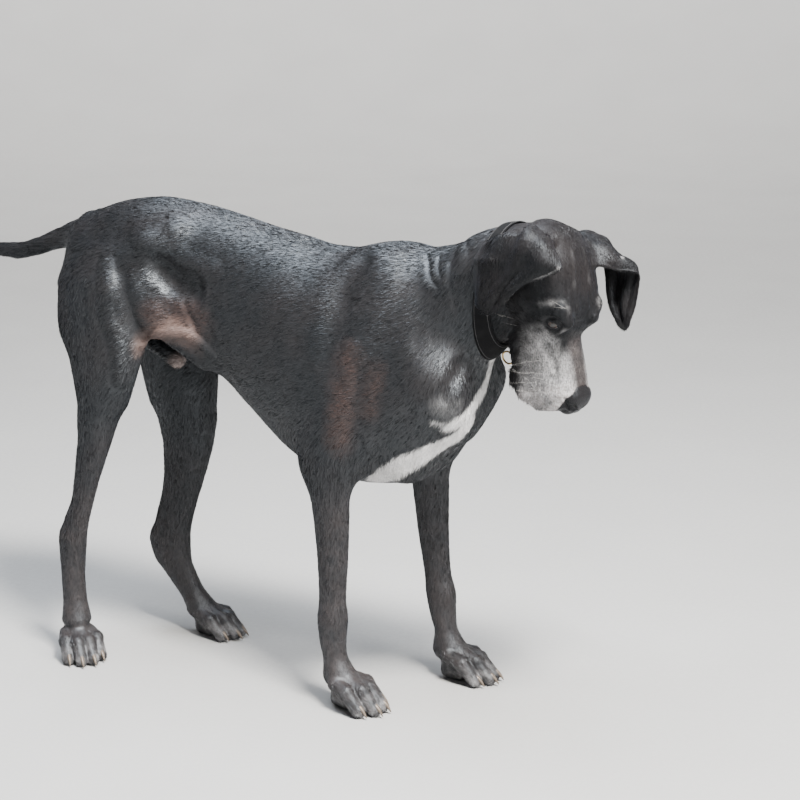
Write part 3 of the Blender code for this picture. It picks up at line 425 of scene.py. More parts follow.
def leg_forms():
    forms = []
    for rows in (FORE_RIGHT, FORE_LEFT):
        forms.append(loft(WORLD_Z, leg_rows(rows), 0.02, 0.02))
    for rows in (HIND_RIGHT, HIND_LEFT):
        forms.append(loft(WORLD_Z, leg_rows(rows), 0.03, 0.02))
    return forms


def paw_forms(middle, turn, size):
    """Four arched toes side by side, the pad behind them, and the foot's root."""
    turn = math.radians(turn)
    ahead, out = np.array([math.cos(turn), math.sin(turn), 0]), np.array([-math.sin(turn), math.cos(turn), 0])
    base = np.array([*middle, 0.0])

    def spot(along, side, height):
        return base + size * (along * ahead + side * out) + np.array([0, 0, size * height])

    forms = [muscle(spot(-0.036, 0, 0.058), spot(-0.008, 0, 0.040), 0.026 * size, 0.028 * size, 0.02, 0.8, out)]
    forms.append(muscle(spot(-0.026, 0, 0.016), spot(-0.006, 0, 0.016), 0.020 * size, 0.023 * size, 0.014))
    for side, reach in ((-0.033, 0.030), (-0.0118, 0.050), (0.0118, 0.050), (0.033, 0.030)):
        knuckle = spot(reach - 0.022, side * 0.98, 0.0415)
        tip = spot(reach + 0.006, side * 1.04, 0.0118)
        forms.append(muscle(spot(reach - 0.052, side * 0.72, 0.050), knuckle, 0.015 * size, 0.0152 * size, 0.006))
        forms.append(muscle(knuckle, tip, 0.0152 * size, 0.0135 * size, 0.004))
    return forms


def claw_seats(middle, turn, size):
    """Where each claw starts and ends."""
    turn = math.radians(turn)
    ahead, out = np.array([math.cos(turn), math.sin(turn), 0]), np.array([-math.sin(turn), math.cos(turn), 0])
    base = np.array([*middle, 0.0])
    seats = []
    for side, reach in ((-0.0345, 0.030), (-0.0125, 0.050), (0.0125, 0.050), (0.0345, 0.030)):
        start = base + size * ((reach + 0.010) * ahead + side * out) + np.array([0, 0, 0.0185 * size])
        seats.append((start, start + CLAW_LENGTH * unit(ahead + side * 3 * out - np.array([0, 0, 0.62]))))
    return seats


def head_frame():
    """Forward, up and right-side directions of the head, as rows."""
    cp, sp = math.cos(HEAD_PITCH), math.sin(HEAD_PITCH)
    cy, sy = math.cos(HEAD_YAW), math.sin(HEAD_YAW)
    ahead = np.array([cp * cy, -cp * sy, -sp])
    up = np.array([sp * cy, -sp * sy, cp])
    return np.array([ahead, up, (-sy, -cy, 0.0)])


def on_head(ahead, up, right):
    return tuple(np.array(HEAD_AT) + np.array([ahead, up, right]) @ head_frame())


def head_forms():
    axes = head_frame()
    frame = (HEAD_AT, *axes)
    skull = [(f, mid, 0, top - mid, mid - low, half, 0) for f, top, mid, low, half in SKULL]
    muzzle = [(f, mid, 0, top - mid, mid - low, half, 0) for f, top, mid, low, half in MUZZLE]
    forms = [loft(frame, skull, 0.03, 0.022, 2.8), loft(frame, muzzle, 0.016, 0.014, 2.7)]

    def bar(start, end, start_radius, end_radius, blend, flat=1.0, across=(0, 0, 1), carve=False):
        direction = np.array(across, float) @ axes
        return muscle(on_head(*start), on_head(*end), start_radius, end_radius, blend, flat, direction, carve)

    # Lower jaw, chin, nose
    forms.append(bar((0.060, -0.108, 0), (0.240, -0.130, 0), 0.036, 0.025, 0.012))
    forms.append(bar((0.240, -0.134, 0), (0.278, -0.138, 0), 0.024, 0.020, 0.008))
    forms.append(bar((0.298, -0.047, -0.0125), (0.298, -0.047, 0.0125), 0.0195, 0.0195, 0.004))
    forms.append(bar((0.312, -0.048, -0.0125), (0.312, -0.048, 0.0125), 0.0130, 0.0130, 0.003))
    forms.append(bar((0.316, -0.062, -0.0080), (0.316, -0.062, 0.0080), 0.0145, 0.0145, 0.003))
    for side in (-1, 1):
        eye = np.array([EYE_AT[0], EYE_AT[1], EYE_AT[2] * side])
        looks = unit([EYE_LOOKS[0], EYE_LOOKS[1], EYE_LOOKS[2] * side])
        inner = unit(looks + [0.44, 0.44, -0.43 * side])
        outer = unit(looks + [-0.46, -0.46, 0.44 * side])
        shell = EYE_RADIUS + 0.0035
        forms += [
            # Cheek, cheekbone, brow, lips that hang below the jaw
            bar((0.050, -0.066, 0.040 * side), (0.105, -0.086, 0.040 * side), 0.037, 0.032, 0.02, 0.75),
            bar((0.062, -0.046, 0.062 * side), (0.142, -0.050, 0.049 * side), 0.012, 0.011, 0.016),
            bar((0.130, -0.038, 0.046 * side), (0.147, -0.016, 0.043 * side), 0.011, 0.0125, 0.016),
            bar((0.147, -0.016, 0.043 * side), (0.168, -0.013, 0.032 * side), 0.0125, 0.0115, 0.012),
            bar((0.190, -0.100, 0.029 * side), (0.284, -0.094, 0.023 * side), 0.038, 0.034, 0.014, 0.48),
            bar((0.200, -0.136, 0.036 * side), (0.278, -0.136, 0.030 * side), 0.018, 0.021, 0.010, 0.5),
            bar((0.262, -0.148, 0.025 * side), (0.281, -0.153, 0.021 * side), 0.012, 0.0125, 0.008),
            # The front edge of the flews, and the loose corner of the lower lip
            bar((0.284, -0.140, 0.027 * side), (0.305, -0.114, 0.020 * side), 0.0130, 0.0120, 0.010),
            bar((0.246, -0.160, 0.026 * side), (0.268, -0.168, 0.022 * side), 0.009, 0.0095, 0.006),
            # Eye socket, the lids round the eyeball and the slit between them
            bar(eye + 0.014 * looks, eye + 0.019 * looks, 0.0150, 0.0175, 0.010, carve=True),
            bar(eye, eye, EYE_RADIUS + 0.0022, EYE_RADIUS + 0.0022, 0.005),
            bar(eye + shell * inner, eye + shell * looks, 0.0030, 0.0060, 0.0012, carve=True),
            bar(eye + shell * looks, eye + shell * outer, 0.0060, 0.0028, 0.0012, carve=True),
            # Nostril and its slit
            bar((0.326, -0.045, 0.0095 * side), (0.316, -0.042, 0.0195 * side), 0.0068, 0.0066, 0.0012, carve=True),
            bar((0.316, -0.045, 0.0210 * side), (0.300, -0.046, 0.0330 * side), 0.0050, 0.0026, 0.0015, carve=True),
        ]
    forms += head_folds()
    return forms


def head_folds():
    """The furrows of the face: lip line, the split under the nose, between the brows, cheeks."""
    forms = [
        fold([on_head(0.334, -0.060, 0), on_head(0.324, -0.076, 0), on_head(0.320, -0.100, 0)], 0.005, -0.0035),
        fold([on_head(0.060, 0.004, 0), on_head(0.100, 0.004, 0), on_head(0.150, -0.010, 0)], 0.016, -0.0025),
    ]
    for side in (-1, 1):
        lip = ((0.313, -0.132, 0.012), (0.296, -0.150, 0.034), (0.248, -0.156, 0.045), (0.200, -0.146, 0.047))
        forms.append(fold([on_head(f, u, s * side) for f, u, s in lip], 0.0065, -0.0045))
        under = ((0.176, -0.018, 0.035), (0.189, -0.028, 0.040), (0.199, -0.044, 0.044), (0.202, -0.060, 0.047))
        forms.append(fold([on_head(f, u, s * side) for f, u, s in under], 0.009, 0.0025))
        pouch = ((0.272, -0.168, 0.026), (0.289, -0.158, 0.034), (0.302, -0.144, 0.034))
        forms.append(fold([on_head(f, u, s * side) for f, u, s in pouch], 0.008, -0.0045))
    return forms


FORMS = {"body": trunk_forms() + leg_forms() + [form for paw in PAWS.values() for form in paw_forms(*paw)]}
FORMS["head"] = head_forms()
FORMS["whole"] = FORMS["body"] + FORMS["head"]


def distance(points, forms):
    """The distance at each point, worked out in runs of neighbouring points."""
    values = np.full(len(points), FAR)
    for start in range(0, len(points), 20000):
        run = slice(start, start + 20000)
        part, here = points[run], values[run]
        low, high = part.min(axis=0), part.max(axis=0)
        for form in forms:
            if np.any(form.low > high) or np.any(form.high < low):
                continue
            near = np.flatnonzero(np.all((part > form.low) & (part < form.high), axis=1))
            if len(near):
                here[near] = form.change(part[near], here[near])
    return values


def sampled(forms, low, high, cell, block=4):
    """The distance at every corner of a block of cubes, in full only where the surface is near."""
    low = np.array(low, float)
    blocks = np.ceil((np.array(high, float) - low) / (cell * block)).astype(int) + 1
    coarse_at = np.argwhere(np.ones(blocks, bool))
    coarse = distance(low + block * cell * coarse_at, forms).reshape(blocks)
    close = np.abs(coarse) < 1.25 * block * cell + 0.005
    wide = close.copy()
    for axis in range(3):
        wide |= np.roll(close, -1, axis)
        close = wide.copy()
    values = np.where(coarse < 0, -FAR, FAR).astype(np.float32)
    for axis in range(3):
        values = np.repeat(values, block, axis)
    inner = np.argwhere(np.ones((block,) * 3, bool))
    for start in range(0, len(coarse_at), 20000):
        part = coarse_at[start : start + 20000]
        part = part[wide[tuple(part.T)]]
        fine = (part[:, None, :] * block + inner[None]).reshape(-1, 3)
        values[tuple(fine.T)] = distance(low + cell * fine, forms)
    return values


def close_pinches(values, cell):
    """Fills each square of four grid corners whose signs cross over, where the surface would touch itself."""
    for _ in range(8):
        found = 0
        for k in range(3):
            face = np.moveaxis(values, k, 0)
            a, b, c, d = face[:, :-1, :-1], face[:, 1:, :-1], face[:, 1:, 1:], face[:, :-1, 1:]
            inside = [corner < 0 for corner in (a, b, c, d)]
            crossed = (inside[0] == inside[2]) & (inside[1] == inside[3]) & (inside[0] != inside[1])
            for corner in (a, b, c, d):
                corner[crossed & (corner >= 0)] = -0.1 * cell
            found += crossed.sum()
        if not found:
            return


def wrapped(forms, low, high, cell):
    """Points and four-sided faces of the surface where the distance is nought."""
    values = sampled(forms, low, high, cell)
    close_pinches(values, cell)
    shape = np.array(values.shape) - 1
    faces, owners, spots = [], [], []
    for k in range(3):
        i, j = [a for a in range(3) if a != k]
        line = np.moveaxis(values, k, 0)
        where = np.argwhere((line[:-1] < 0) != (line[1:] < 0))
        first = line[tuple(where.T)]
        second = line[tuple((where + (1, 0, 0)).T)]
        where = np.insert(where[:, 1:], k, where[:, 0], axis=1)
        crossing = where.astype(float)
        crossing[:, k] += first / (first - second)
        ring = []
        for di, dj in ((0, 0), (-1, 0), (-1, -1), (0, -1)):
            cube = where.copy()
            cube[:, i] += di
            cube[:, j] += dj
            inside = np.all((cube >= 0) & (cube < shape), axis=1)
            owner = np.where(inside, np.ravel_multi_index(np.clip(cube, 0, shape - 1).T, shape), -1)
            owners.append(owner[inside])
            spots.append(crossing[inside])
            ring.append(owner)
        square = np.stack(ring, axis=1)
        flip = (first < 0) == (k == 1)
        square[flip] = square[flip][:, ::-1]
        faces.append(square[(square >= 0).all(axis=1)])
    faces, owners, spots = np.concatenate(faces), np.concatenate(owners), np.concatenate(spots)
    used, inverse = np.unique(faces, return_inverse=True)
    row = np.searchsorted(used, owners)
    kept = (row < len(used)) & (used[np.minimum(row, len(used) - 1)] == owners)
    row, spots = row[kept], spots[kept]
    hits = np.bincount(row, minlength=len(used))
    points = np.stack([np.bincount(row, spots[:, a], len(used)) / hits for a in range(3)], axis=1)
    return settled(points * cell + np.array(low, float), forms), inverse.reshape(faces.shape)


def settled(points, forms, rounds=3, probe=0.0006):
    """The points moved onto the surface."""
    for _ in range(rounds):
        here = distance(points, forms)
        slope = np.stack([distance(points + probe * axis, forms) - here for axis in np.eye(3)], axis=1) / probe
        steep = np.maximum((slope**2).sum(axis=1), 0.2)
        points = points - np.clip(here / steep, -0.003, 0.003)[:, None] * slope
    return points




def ear_sheet(rows, side, along, across):
    """Points of an ear's middle surface, on smooth curves through its rows."""
    rows = np.array(rows, float)
    places = np.linspace(0, 2, across + 1)
    lines = [between(np.column_stack([np.arange(3.0), row]), places) for row in rows]
    down = np.linspace(0, len(rows) - 1, along + 1)
    stacked = np.column_stack([np.arange(float(len(rows))), np.array(lines).reshape(len(rows), -1)])
    sheet = between(stacked, down).reshape(along + 1, across + 1, 3)
    sheet[:, :, 2] *= side
    return np.array(HEAD_AT) + sheet @ head_frame()


eye_low, eye_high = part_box("eye_right")
SHIFT = (np.array(eye_low) + np.array(eye_high)) / 2 - np.array(on_head(*EYE_AT))
SHIFT[2] = 0.0


def inset(depth, spots, radius):
    """Draws the whole surface in by the depth of the coat, less near the given spots, where the skin is bare."""

    def change(points, so_far):
        share = np.ones(len(points))
        for spot in spots:
            share *= smooth(0.45 * radius, radius, np.linalg.norm(points - spot, axis=1))
        return so_far + depth * share

    return Form([(-2, -1, -1), (1, 1, 2)], 0, change)


def smooth(low, high, value):
    """0 below low, 1 above high, and eased between."""
    t = np.clip((np.asarray(value, float) - low) / (high - low), 0, 1)
    return t * t * (3 - 2 * t)


def nearest(points, spots):
    """For each point, the index of the nearest spot."""
    found = np.empty(len(points), int)
    spots32 = spots.astype(np.float32)
    square = (spots32**2).sum(axis=1)
    for start in range(0, len(points), 8000):
        part = points[start : start + 8000].astype(np.float32)
        found[start : start + 8000] = np.argmin(square - 2 * part @ spots32.T, axis=1)
    return found


def ear_pleats(along, across):
    """How far each place on an ear's sheet stands out: long soft pleats, and creases where the ear breaks over."""
    down, over = np.meshgrid(np.linspace(0, 1, along + 1), np.linspace(-1, 1, across + 1), indexing="ij")
    free = smooth(0.06, 0.22, down) * (1 - smooth(0.80, 1.0, down))
    pleats = 0.0046 * np.sin(math.pi * (1.55 * over + 0.9 * down + 0.15)) * free
    pleats += 0.0020 * np.sin(math.pi * (3.4 * over - 1.6 * down + 0.4)) * free
    crease = np.exp(-(((down - 0.50 + 0.10 * over) / 0.030) ** 2)) * smooth(0.1, 0.6, over)
    fold_over = np.exp(-(((down - 0.30 - 0.06 * over) / 0.05) ** 2)) * (1 - smooth(0.0, 0.7, over))
    return pleats - 0.0040 * crease + 0.0028 * fold_over


def ear_form(rows, side):
    """An ear as a thin sheet of flesh, thick at its root and thin along its margins."""
    along, across = 60, 40
    sheet = ear_sheet(rows, side, along, across)
    normal = np.cross(np.gradient(sheet, axis=0), np.gradient(sheet, axis=1))
    normal /= np.linalg.norm(normal, axis=2, keepdims=True)
    pleats = ear_pleats(along, across)
    sheet = sheet + normal * pleats[:, :, None] * side
    down, over = np.meshgrid(np.linspace(0, 1, along + 1), np.linspace(-1, 1, across + 1), indexing="ij")
    half = 0.0021 + 0.0022 * (1 - smooth(0.05, 0.4, down)) - 0.0008 * smooth(0.7, 1, np.abs(over))
    # A rolled rim along both margins
    half = half + 0.0007 * np.exp(-(((np.abs(over) - 0.9) / 0.07) ** 2))
    blend = 0.0015 + 0.012 * (1 - smooth(0.02, 0.24, down))
    spots, normal = sheet.reshape(-1, 3), normal.reshape(-1, 3)
    half, blend = half.reshape(-1), blend.reshape(-1)
    coarse = sheet[::4, ::4].reshape(-1, 3)

    def change(points, so_far):
        away = np.linalg.norm(points - coarse[nearest(points, coarse)], axis=1)
        close = away < 0.018
        if not close.any():
            return so_far
        points, here = points[close], so_far[close]
        at = nearest(points, spots)
        offset = points - spots[at]
        rise = (offset * normal[at]).sum(axis=1)
        slide = np.linalg.norm(offset - rise[:, None] * normal[at], axis=1)
        apart = np.sqrt(rise**2 + np.maximum(slide - 0.002, 0) ** 2) - half[at]
        changed = so_far.copy()
        changed[close] = merged(here, apart, blend[at])
        return changed

    return Form(sheet.reshape(-1, 3), 0.016, change)


# Ridges, hollows and creases of both sides of the body: radius, height (a groove where negative), path
RELIEF = (
    # Flank: the hollow behind the ribs, the ridge over it, and the creases below
    (0.038, -0.018, ((-0.448, 0.100, 0.784), (-0.422, 0.096, 0.768), (-0.382, 0.100, 0.758))),
    (0.034, -0.012, ((-0.424, 0.098, 0.758), (-0.398, 0.100, 0.748), (-0.380, 0.101, 0.742))),
    (0.030, 0.004, ((-0.480, 0.104, 0.836), (-0.450, 0.098, 0.819), (-0.411, 0.092, 0.807), (-0.340, 0.098, 0.790))),
    (0.012, -0.003, ((-0.398, 0.100, 0.722), (-0.387, 0.102, 0.704), (-0.377, 0.102, 0.686))),
    (0.014, 0.005, ((-0.493, 0.098, 0.634), (-0.447, 0.110, 0.663), (-0.399, 0.104, 0.668), (-0.340, 0.100, 0.634))),
    # Thigh: its leading edge and the long ridge of its muscle
    (0.024, 0.007, ((-0.562, 0.114, 0.788), (-0.553, 0.129, 0.756), (-0.546, 0.139, 0.700), (-0.524, 0.139, 0.640), (-0.520, 0.136, 0.570))),
    (0.022, -0.005, ((-0.522, 0.122, 0.770), (-0.505, 0.122, 0.700), (-0.494, 0.116, 0.650))),
    (0.026, -0.005, ((-0.600, 0.120, 0.720), (-0.588, 0.135, 0.650), (-0.590, 0.130, 0.590))),
    # Groove behind the shoulder, spine of the shoulder blade, groove in front of the upper arm
    (0.036, -0.009, ((-0.036, 0.074, 0.826), (-0.059, 0.098, 0.780), (-0.063, 0.128, 0.713), (-0.067, 0.140, 0.642))),
    (0.040, 0.003, ((0.024, 0.086, 0.806), (0.020, 0.100, 0.780), (0.004, 0.122, 0.736), (-0.004, 0.135, 0.677))),
    (0.016, -0.006, ((0.093, 0.134, 0.588), (0.068, 0.132, 0.555), (0.034, 0.131, 0.520), (0.008, 0.108, 0.466))),
    (0.024, -0.006, ((0.160, 0.080, 0.660), (0.155, 0.105, 0.636), (0.146, 0.119, 0.614))),
    (0.026, 0.004, ((-0.030, 0.130, 0.690), (-0.036, 0.141, 0.627), (-0.052, 0.149, 0.517))),
    # Ribs
    (0.018, 0.0011, ((-0.160, 0.070, 0.815), (-0.172, 0.120, 0.750), (-0.170, 0.134, 0.670))),
    (0.018, 0.0012, ((-0.208, 0.070, 0.812), (-0.222, 0.118, 0.745), (-0.218, 0.130, 0.665))),
    (0.018, 0.0014, ((-0.258, 0.070, 0.810), (-0.274, 0.114, 0.742), (-0.270, 0.124, 0.662))),
    (0.018, 0.0014, ((-0.306, 0.068, 0.806), (-0.324, 0.108, 0.742), (-0.322, 0.114, 0.668))),
)
# Creases of the near side only, where the neck is turned: radius, height, path
NECK_CREASES = (
    (0.009, -0.0032, ((0.080, -0.048, 0.846), (0.090, -0.061, 0.838), (0.102, -0.080, 0.819), (0.118, -0.088, 0.804))),
    (0.008, -0.0028, ((0.108, -0.054, 0.848), (0.112, -0.069, 0.838), (0.123, -0.082, 0.819))),
    (0.009, -0.0030, ((0.139, -0.072, 0.844), (0.143, -0.086, 0.815), (0.151, -0.091, 0.788), (0.158, -0.090, 0.767))),
    (0.009, -0.0028, ((0.093, -0.107, 0.725), (0.092, -0.113, 0.704), (0.101, -0.114, 0.688))),
    (0.018, 0.0030, ((0.150, -0.050, 0.866), (0.159, -0.070, 0.858), (0.163, -0.085, 0.830))),
)
# Veins and tendons of the legs: radius, height, path
CORDS = (
    (0.006, 0.0016, ((-0.638, -0.130, 0.359), (-0.646, -0.127, 0.317), (-0.647, -0.136, 0.259), (-0.641, -0.120, 0.132))),
    (0.006, 0.0014, ((-0.572, -0.143, 0.489), (-0.589, -0.141, 0.448), (-0.605, -0.140, 0.406))),
    (0.010, -0.0030, ((-0.645, -0.128, 0.395), (-0.662, -0.124, 0.340), (-0.672, -0.122, 0.290))),
    (0.010, -0.0030, ((-0.562, 0.124, 0.380), (-0.575, 0.120, 0.320), (-0.582, 0.120, 0.260))),
    (0.008, -0.0020, ((-0.088, -0.142, 0.360), (-0.086, -0.140, 0.290), (-0.086, -0.138, 0.220))),
    (0.008, -0.0020, ((0.002, 0.140, 0.360), (0.008, 0.136, 0.290), (0.014, 0.134, 0.220))),
)
# Folds of the face, forward, up and out: radius, height, path, on both sides
FACE_FOLDS = (
    # Forehead wrinkles between the ears and the brows
    (0.0060, -0.0016, ((0.052, 0.002, 0.014), (0.086, 0.006, 0.013), (0.124, 0.004, 0.016), (0.148, -0.006, 0.020))),
    (0.0060, -0.0013, ((0.066, 0.000, 0.034), (0.096, 0.002, 0.034), (0.124, 0.000, 0.036))),
    # Upper lid crease, brow, lower lid bag, cheek
    (0.0032, -0.0013, ((0.140, -0.046, 0.058), (0.148, -0.030, 0.055), (0.160, -0.018, 0.048), (0.174, -0.010, 0.036))),
    (0.0034, -0.0012, ((0.160, -0.058, 0.053), (0.176, -0.046, 0.050), (0.188, -0.030, 0.044))),
    (0.0100, -0.0022, ((0.204, -0.070, 0.040), (0.222, -0.060, 0.036), (0.250, -0.056, 0.034))),
    (0.0120, -0.0025, ((0.150, -0.086, 0.060), (0.184, -0.104, 0.050), (0.206, -0.128, 0.044))),
    # Flews: two soft creases down the lip
    (0.0060, -0.0015, ((0.250, -0.092, 0.041), (0.256, -0.118, 0.042), (0.254, -0.142, 0.042))),
    (0.0060, -0.0012, ((0.276, -0.086, 0.039), (0.284, -0.112, 0.039), (0.284, -0.138, 0.038))),
    # Rear rim of the nose pad
    (0.0036, -0.0014, ((0.281, -0.026, 0.000), (0.284, -0.030, 0.014), (0.292, -0.040, 0.022), (0.300, -0.056, 0.026))),
)


def relief_forms():
    forms = []
    for radius, height, path in RELIEF:
        for side in (-1, 1):
            forms.append(fold([(x, side * y, z) for x, y, z in path], radius, height))
    return forms + [fold(path, radius, height) for radius, height, path in NECK_CREASES + CORDS]


def face_forms():
    forms = [ear_form(EAR_RIGHT, 1), ear_form(EAR_LEFT, -1)]
    for radius, height, path in FACE_FOLDS:
        for side in (-1, 1):
            forms.append(fold([on_head(f, u, side * out) for f, u, out in path], radius, height))
    return forms


# Markings, painted highlight and shade among them, and the lie of the hair, as functions of a place on the animal


def near_path(points, path, radius, core=0.35):
    """1 on a path, falling to 0 at the radius."""
    return 1 - smooth(core * radius, radius, path_distance(points, curve_through(path)))


def collar_side(points):
    """How far each point is past the middle of the collar, towards the head."""
    return (points - np.array(COLLAR_AT)) @ unit(COLLAR_ALONG)


def head_place(points):
    """Each point's place on the head: forward, up, out from the middle."""
    place = (points - np.array(HEAD_AT)) @ head_frame().T
    place[:, 2] = np.abs(place[:, 2])
    return place


def mottle(points, scale, shift=0.0):
    """Smooth noise from -1 to 1 at each point."""
    offset = Vector((shift, shift, shift))
    return np.array([noise.noise(Vector(p) * scale + offset) for p in points.tolist()])


BLAZE = (
    (0.208, -0.015, 0.679), (0.184, 0.010, 0.640), (0.173, 0.006, 0.613), (0.169, -0.005, 0.597),
    (0.167, -0.029, 0.584), (0.163, -0.045, 0.574),
)
BLAZE_PATCH = ((0.163, -0.045, 0.572), (0.157, -0.066, 0.564), (0.147, -0.086, 0.558))
BLAZE_POINT = ((0.147, -0.086, 0.560), (0.136, -0.106, 0.565), (0.127, -0.115, 0.568))
BREAST_BAND = (
    (0.158, -0.036, 0.552), (0.146, -0.052, 0.530), (0.118, -0.072, 0.510), (0.092, -0.086, 0.494),
    (0.053, -0.098, 0.472), (0.014, -0.085, 0.446), (-0.020, -0.050, 0.424),
)
BREAST_GREY = ((0.158, -0.096, 0.592), (0.152, -0.103, 0.584), (0.142, -0.116, 0.598))
FLANK_FOLD = (
    (-0.493, 0.098, 0.634), (-0.470, 0.106, 0.652), (-0.447, 0.112, 0.663), (-0.422, 0.109, 0.673),
    (-0.399, 0.104, 0.668), (-0.366, 0.101, 0.654), (-0.336, 0.100, 0.631),
)
BROW = ((0.130, -0.036, 0.066), (0.131, -0.014, 0.055), (0.141, -0.004, 0.042), (0.156, -0.002, 0.035))
UNDER_EYE = ((0.177, -0.016, 0.036), (0.188, -0.032, 0.040), (0.200, -0.054, 0.041))
EAR_HEM = ((0.070, 0.034, 0.089), (0.080, 0.004, 0.095), (0.086, -0.034, 0.104), (0.104, -0.066, 0.106), (0.116, -0.084, 0.107))
# Lines of painted highlight down the forehead, where light catches its ridges
FOREHEAD_HIGHLIGHT_LINES = ((0.050, 0.004, 0.017), (0.080, 0.007, 0.018), (0.112, 0.004, 0.021))
LIP_EDGE = (
    (0.312, -0.128, 0.012), (0.298, -0.148, 0.032), (0.280, -0.160, 0.034), (0.262, -0.166, 0.036), (0.240, -0.160, 0.044),
)


def markings_and_painted_light(points):
    """Shares of white, grey, rust, pink and bare leather at each point, with painted highlight on the forehead and
    painted shade round the eyes and on the far breast among them.
    """
    x, y, z = points.T
    ahead, up, out = head_place(points).T
    rough = mottle(points, 55.0) + 0.5 * mottle(points, 140.0, 3.0)
    on_face = smooth(0.05, 0.09, collar_side(points)) * smooth(0.0, 0.06, ahead)

    # Blaze down the throat, its patch on the breast, and the pale band between the forelegs
    ragged = points + 0.0025 * np.column_stack([mottle(points, 90.0, shift) for shift in (5.0, 9.0, 13.0)])
    white = near_path(ragged, BLAZE, 0.0165, 0.6)
    white = np.maximum(white, near_path(ragged, BLAZE_PATCH, 0.021, 0.55))
    white = np.maximum(white, near_path(ragged, BLAZE_POINT, 0.009, 0.4))
    white = np.maximum(white, near_path(ragged, BREAST_BAND, 0.0225, 0.70))
    # The white stops past y = 0.03, so the far breast and far foreleg stay black: painted shade of that side
    white = np.clip(white * (0.88 + 0.25 * rough), 0, 1) * (1 - smooth(0.03, 0.05, y))

    # Grey of an old face: speckled sides and front of the muzzle, chin, brows and under the eyes, and faint painted
    # highlight lines down the forehead
    face = np.column_stack([ahead, up, out])
    side = smooth(0.200, 0.250, ahead) * smooth(0.004, 0.030, out) * (1 - smooth(0.318, 0.330, ahead))
    side *= 0.66 + 0.34 * np.maximum(smooth(-0.080, -0.120, up), smooth(0.262, 0.296, ahead))
    cheek = smooth(0.158, 0.190, ahead) * smooth(-0.034, -0.058, up) * (0.66 + 0.30 * smooth(-0.095, -0.125, up))
    bridge = smooth(0.185, 0.215, ahead) * (1 - smooth(0.276, 0.288, ahead)) * (1 - smooth(-0.030, -0.045, up)) * 0.07
    brow = near_path(face, BROW, 0.0110, 0.05) * 0.30 * smooth(-0.6, 0.7, rough)
    under = near_path(face, UNDER_EYE, 0.0060, 0.1) * 0.42
    # Painted highlight: pale lines along the forehead's ridges, standing in for light
    painted_highlight_streak = near_path(face, FOREHEAD_HIGHLIGHT_LINES, 0.008, 0.05) * 0.05 * smooth(-0.6, 0.6, rough)
    hem = near_path(face, EAR_HEM, 0.0045, 0.2) * 0.50
    grey = np.maximum.reduce([0.88 * side, cheek, bridge, brow, under, painted_highlight_streak, hem]) * on_face
    toes = (1 - smooth(0.012, 0.052, z)) * 0.34 * smooth(-0.5, 0.6, rough)
    shin = (1 - smooth(0.26, 0.46, z)) * 0.020
    breast = near_path(points, BREAST_GREY, 0.028, 0.1) * 0.20
    grey = np.clip(np.maximum.reduce([grey, toes, shin, breast]) * (0.85 + 0.45 * rough), 0, 1)

    both = np.column_stack([x, np.abs(y), z])
    rust = near_path(both, ((-0.030, 0.136, 0.670), (-0.038, 0.141, 0.600), (-0.044, 0.145, 0.520)), 0.044, 0.1) * 0.60
    rust = np.maximum(rust, near_path(both, ((0.026, 0.132, 0.650), (0.014, 0.138, 0.580)), 0.034, 0.1) * 0.42)
    rust = np.maximum(rust, near_path(both, ((-0.360, 0.104, 0.690), (-0.410, 0.106, 0.700), (-0.450, 0.114, 0.700)), 0.05, 0.1) * 0.60)
    legs = (1 - smooth(0.25, 0.50, z)) * 0.18
    nose_bridge = smooth(0.18, 0.21, ahead) * (1 - smooth(-0.030, -0.045, up)) * (1 - smooth(0.012, 0.028, out)) * 0.24 * on_face
    rust = np.clip(np.maximum.reduce([rust, legs, nose_bridge]) * (0.75 + 0.55 * rough), 0, 1)

    # Thin skin of the flank's fold, the sheath's tip, the front of the lips
    pink = near_path(both, FLANK_FOLD, 0.034, 0.10) * 0.52 * (1 - smooth(-0.39, -0.35, x))
    tip = 1 - smooth(0.006, 0.026, np.linalg.norm(points - np.array((-0.480, 0.0, 0.584)), axis=1))
    pink = np.maximum(pink, tip)
    white = np.maximum(white, 0.16 * tip)
    lips = smooth(0.266, 0.300, ahead) * smooth(0.010, 0.022, out) * 0.70 * smooth(-0.8, 0.8, rough)
    pink = np.clip(np.maximum(pink, lips * on_face) * (0.9 + 0.25 * rough), 0, 1)

    edge = 0.281 + 0.85 * np.maximum(out - 0.012, 0) + 0.80 * np.maximum(-0.042 - up, 0) * smooth(0.008, 0.020, out)
    nose = smooth(0.0, 0.004, ahead - edge) * smooth(-0.090, -0.080, up)
    nose = np.maximum(nose, smooth(0.312, 0.318, ahead) * smooth(-0.105, -0.088, up) * (1 - smooth(0.006, 0.010, out)))
    eye = np.array(EYE_AT)
    # Dark bare lid skin round each eye, widened over the socket as painted shade of that recess
    lid_skin_and_socket_shade = 1 - smooth(0.0160, 0.0235, np.linalg.norm(np.column_stack([ahead, up, out]) - eye, axis=1))
    lips_edge = near_path(face, LIP_EDGE, 0.0060, 0.4) * 0.8
    pads = (1 - smooth(0.003, 0.007, z)) * 0.8
    bare = np.clip(np.maximum.reduce([nose * on_face, lid_skin_and_socket_shade * on_face, lips_edge * on_face, pads]), 0, 1)
    for share in (white, grey, pink):
        share *= 1 - bare

    # Where the coat is too short or too thin to shine: head, ears, groin and lower legs
    groin = smooth(-0.54, -0.49, x) * (1 - smooth(-0.36, -0.31, x)) * (1 - smooth(0.66, 0.70, z)) * smooth(0.50, 0.56, z)
    dull = np.maximum.reduce([0.15 * on_face, 0.40 * smooth(0.070, 0.082, out) * on_face, 0.9 * groin])
    dull = np.maximum(dull, 0.25 * (1 - smooth(0.30, 0.48, z)))
    return white, grey, rust, pink, bare, dull


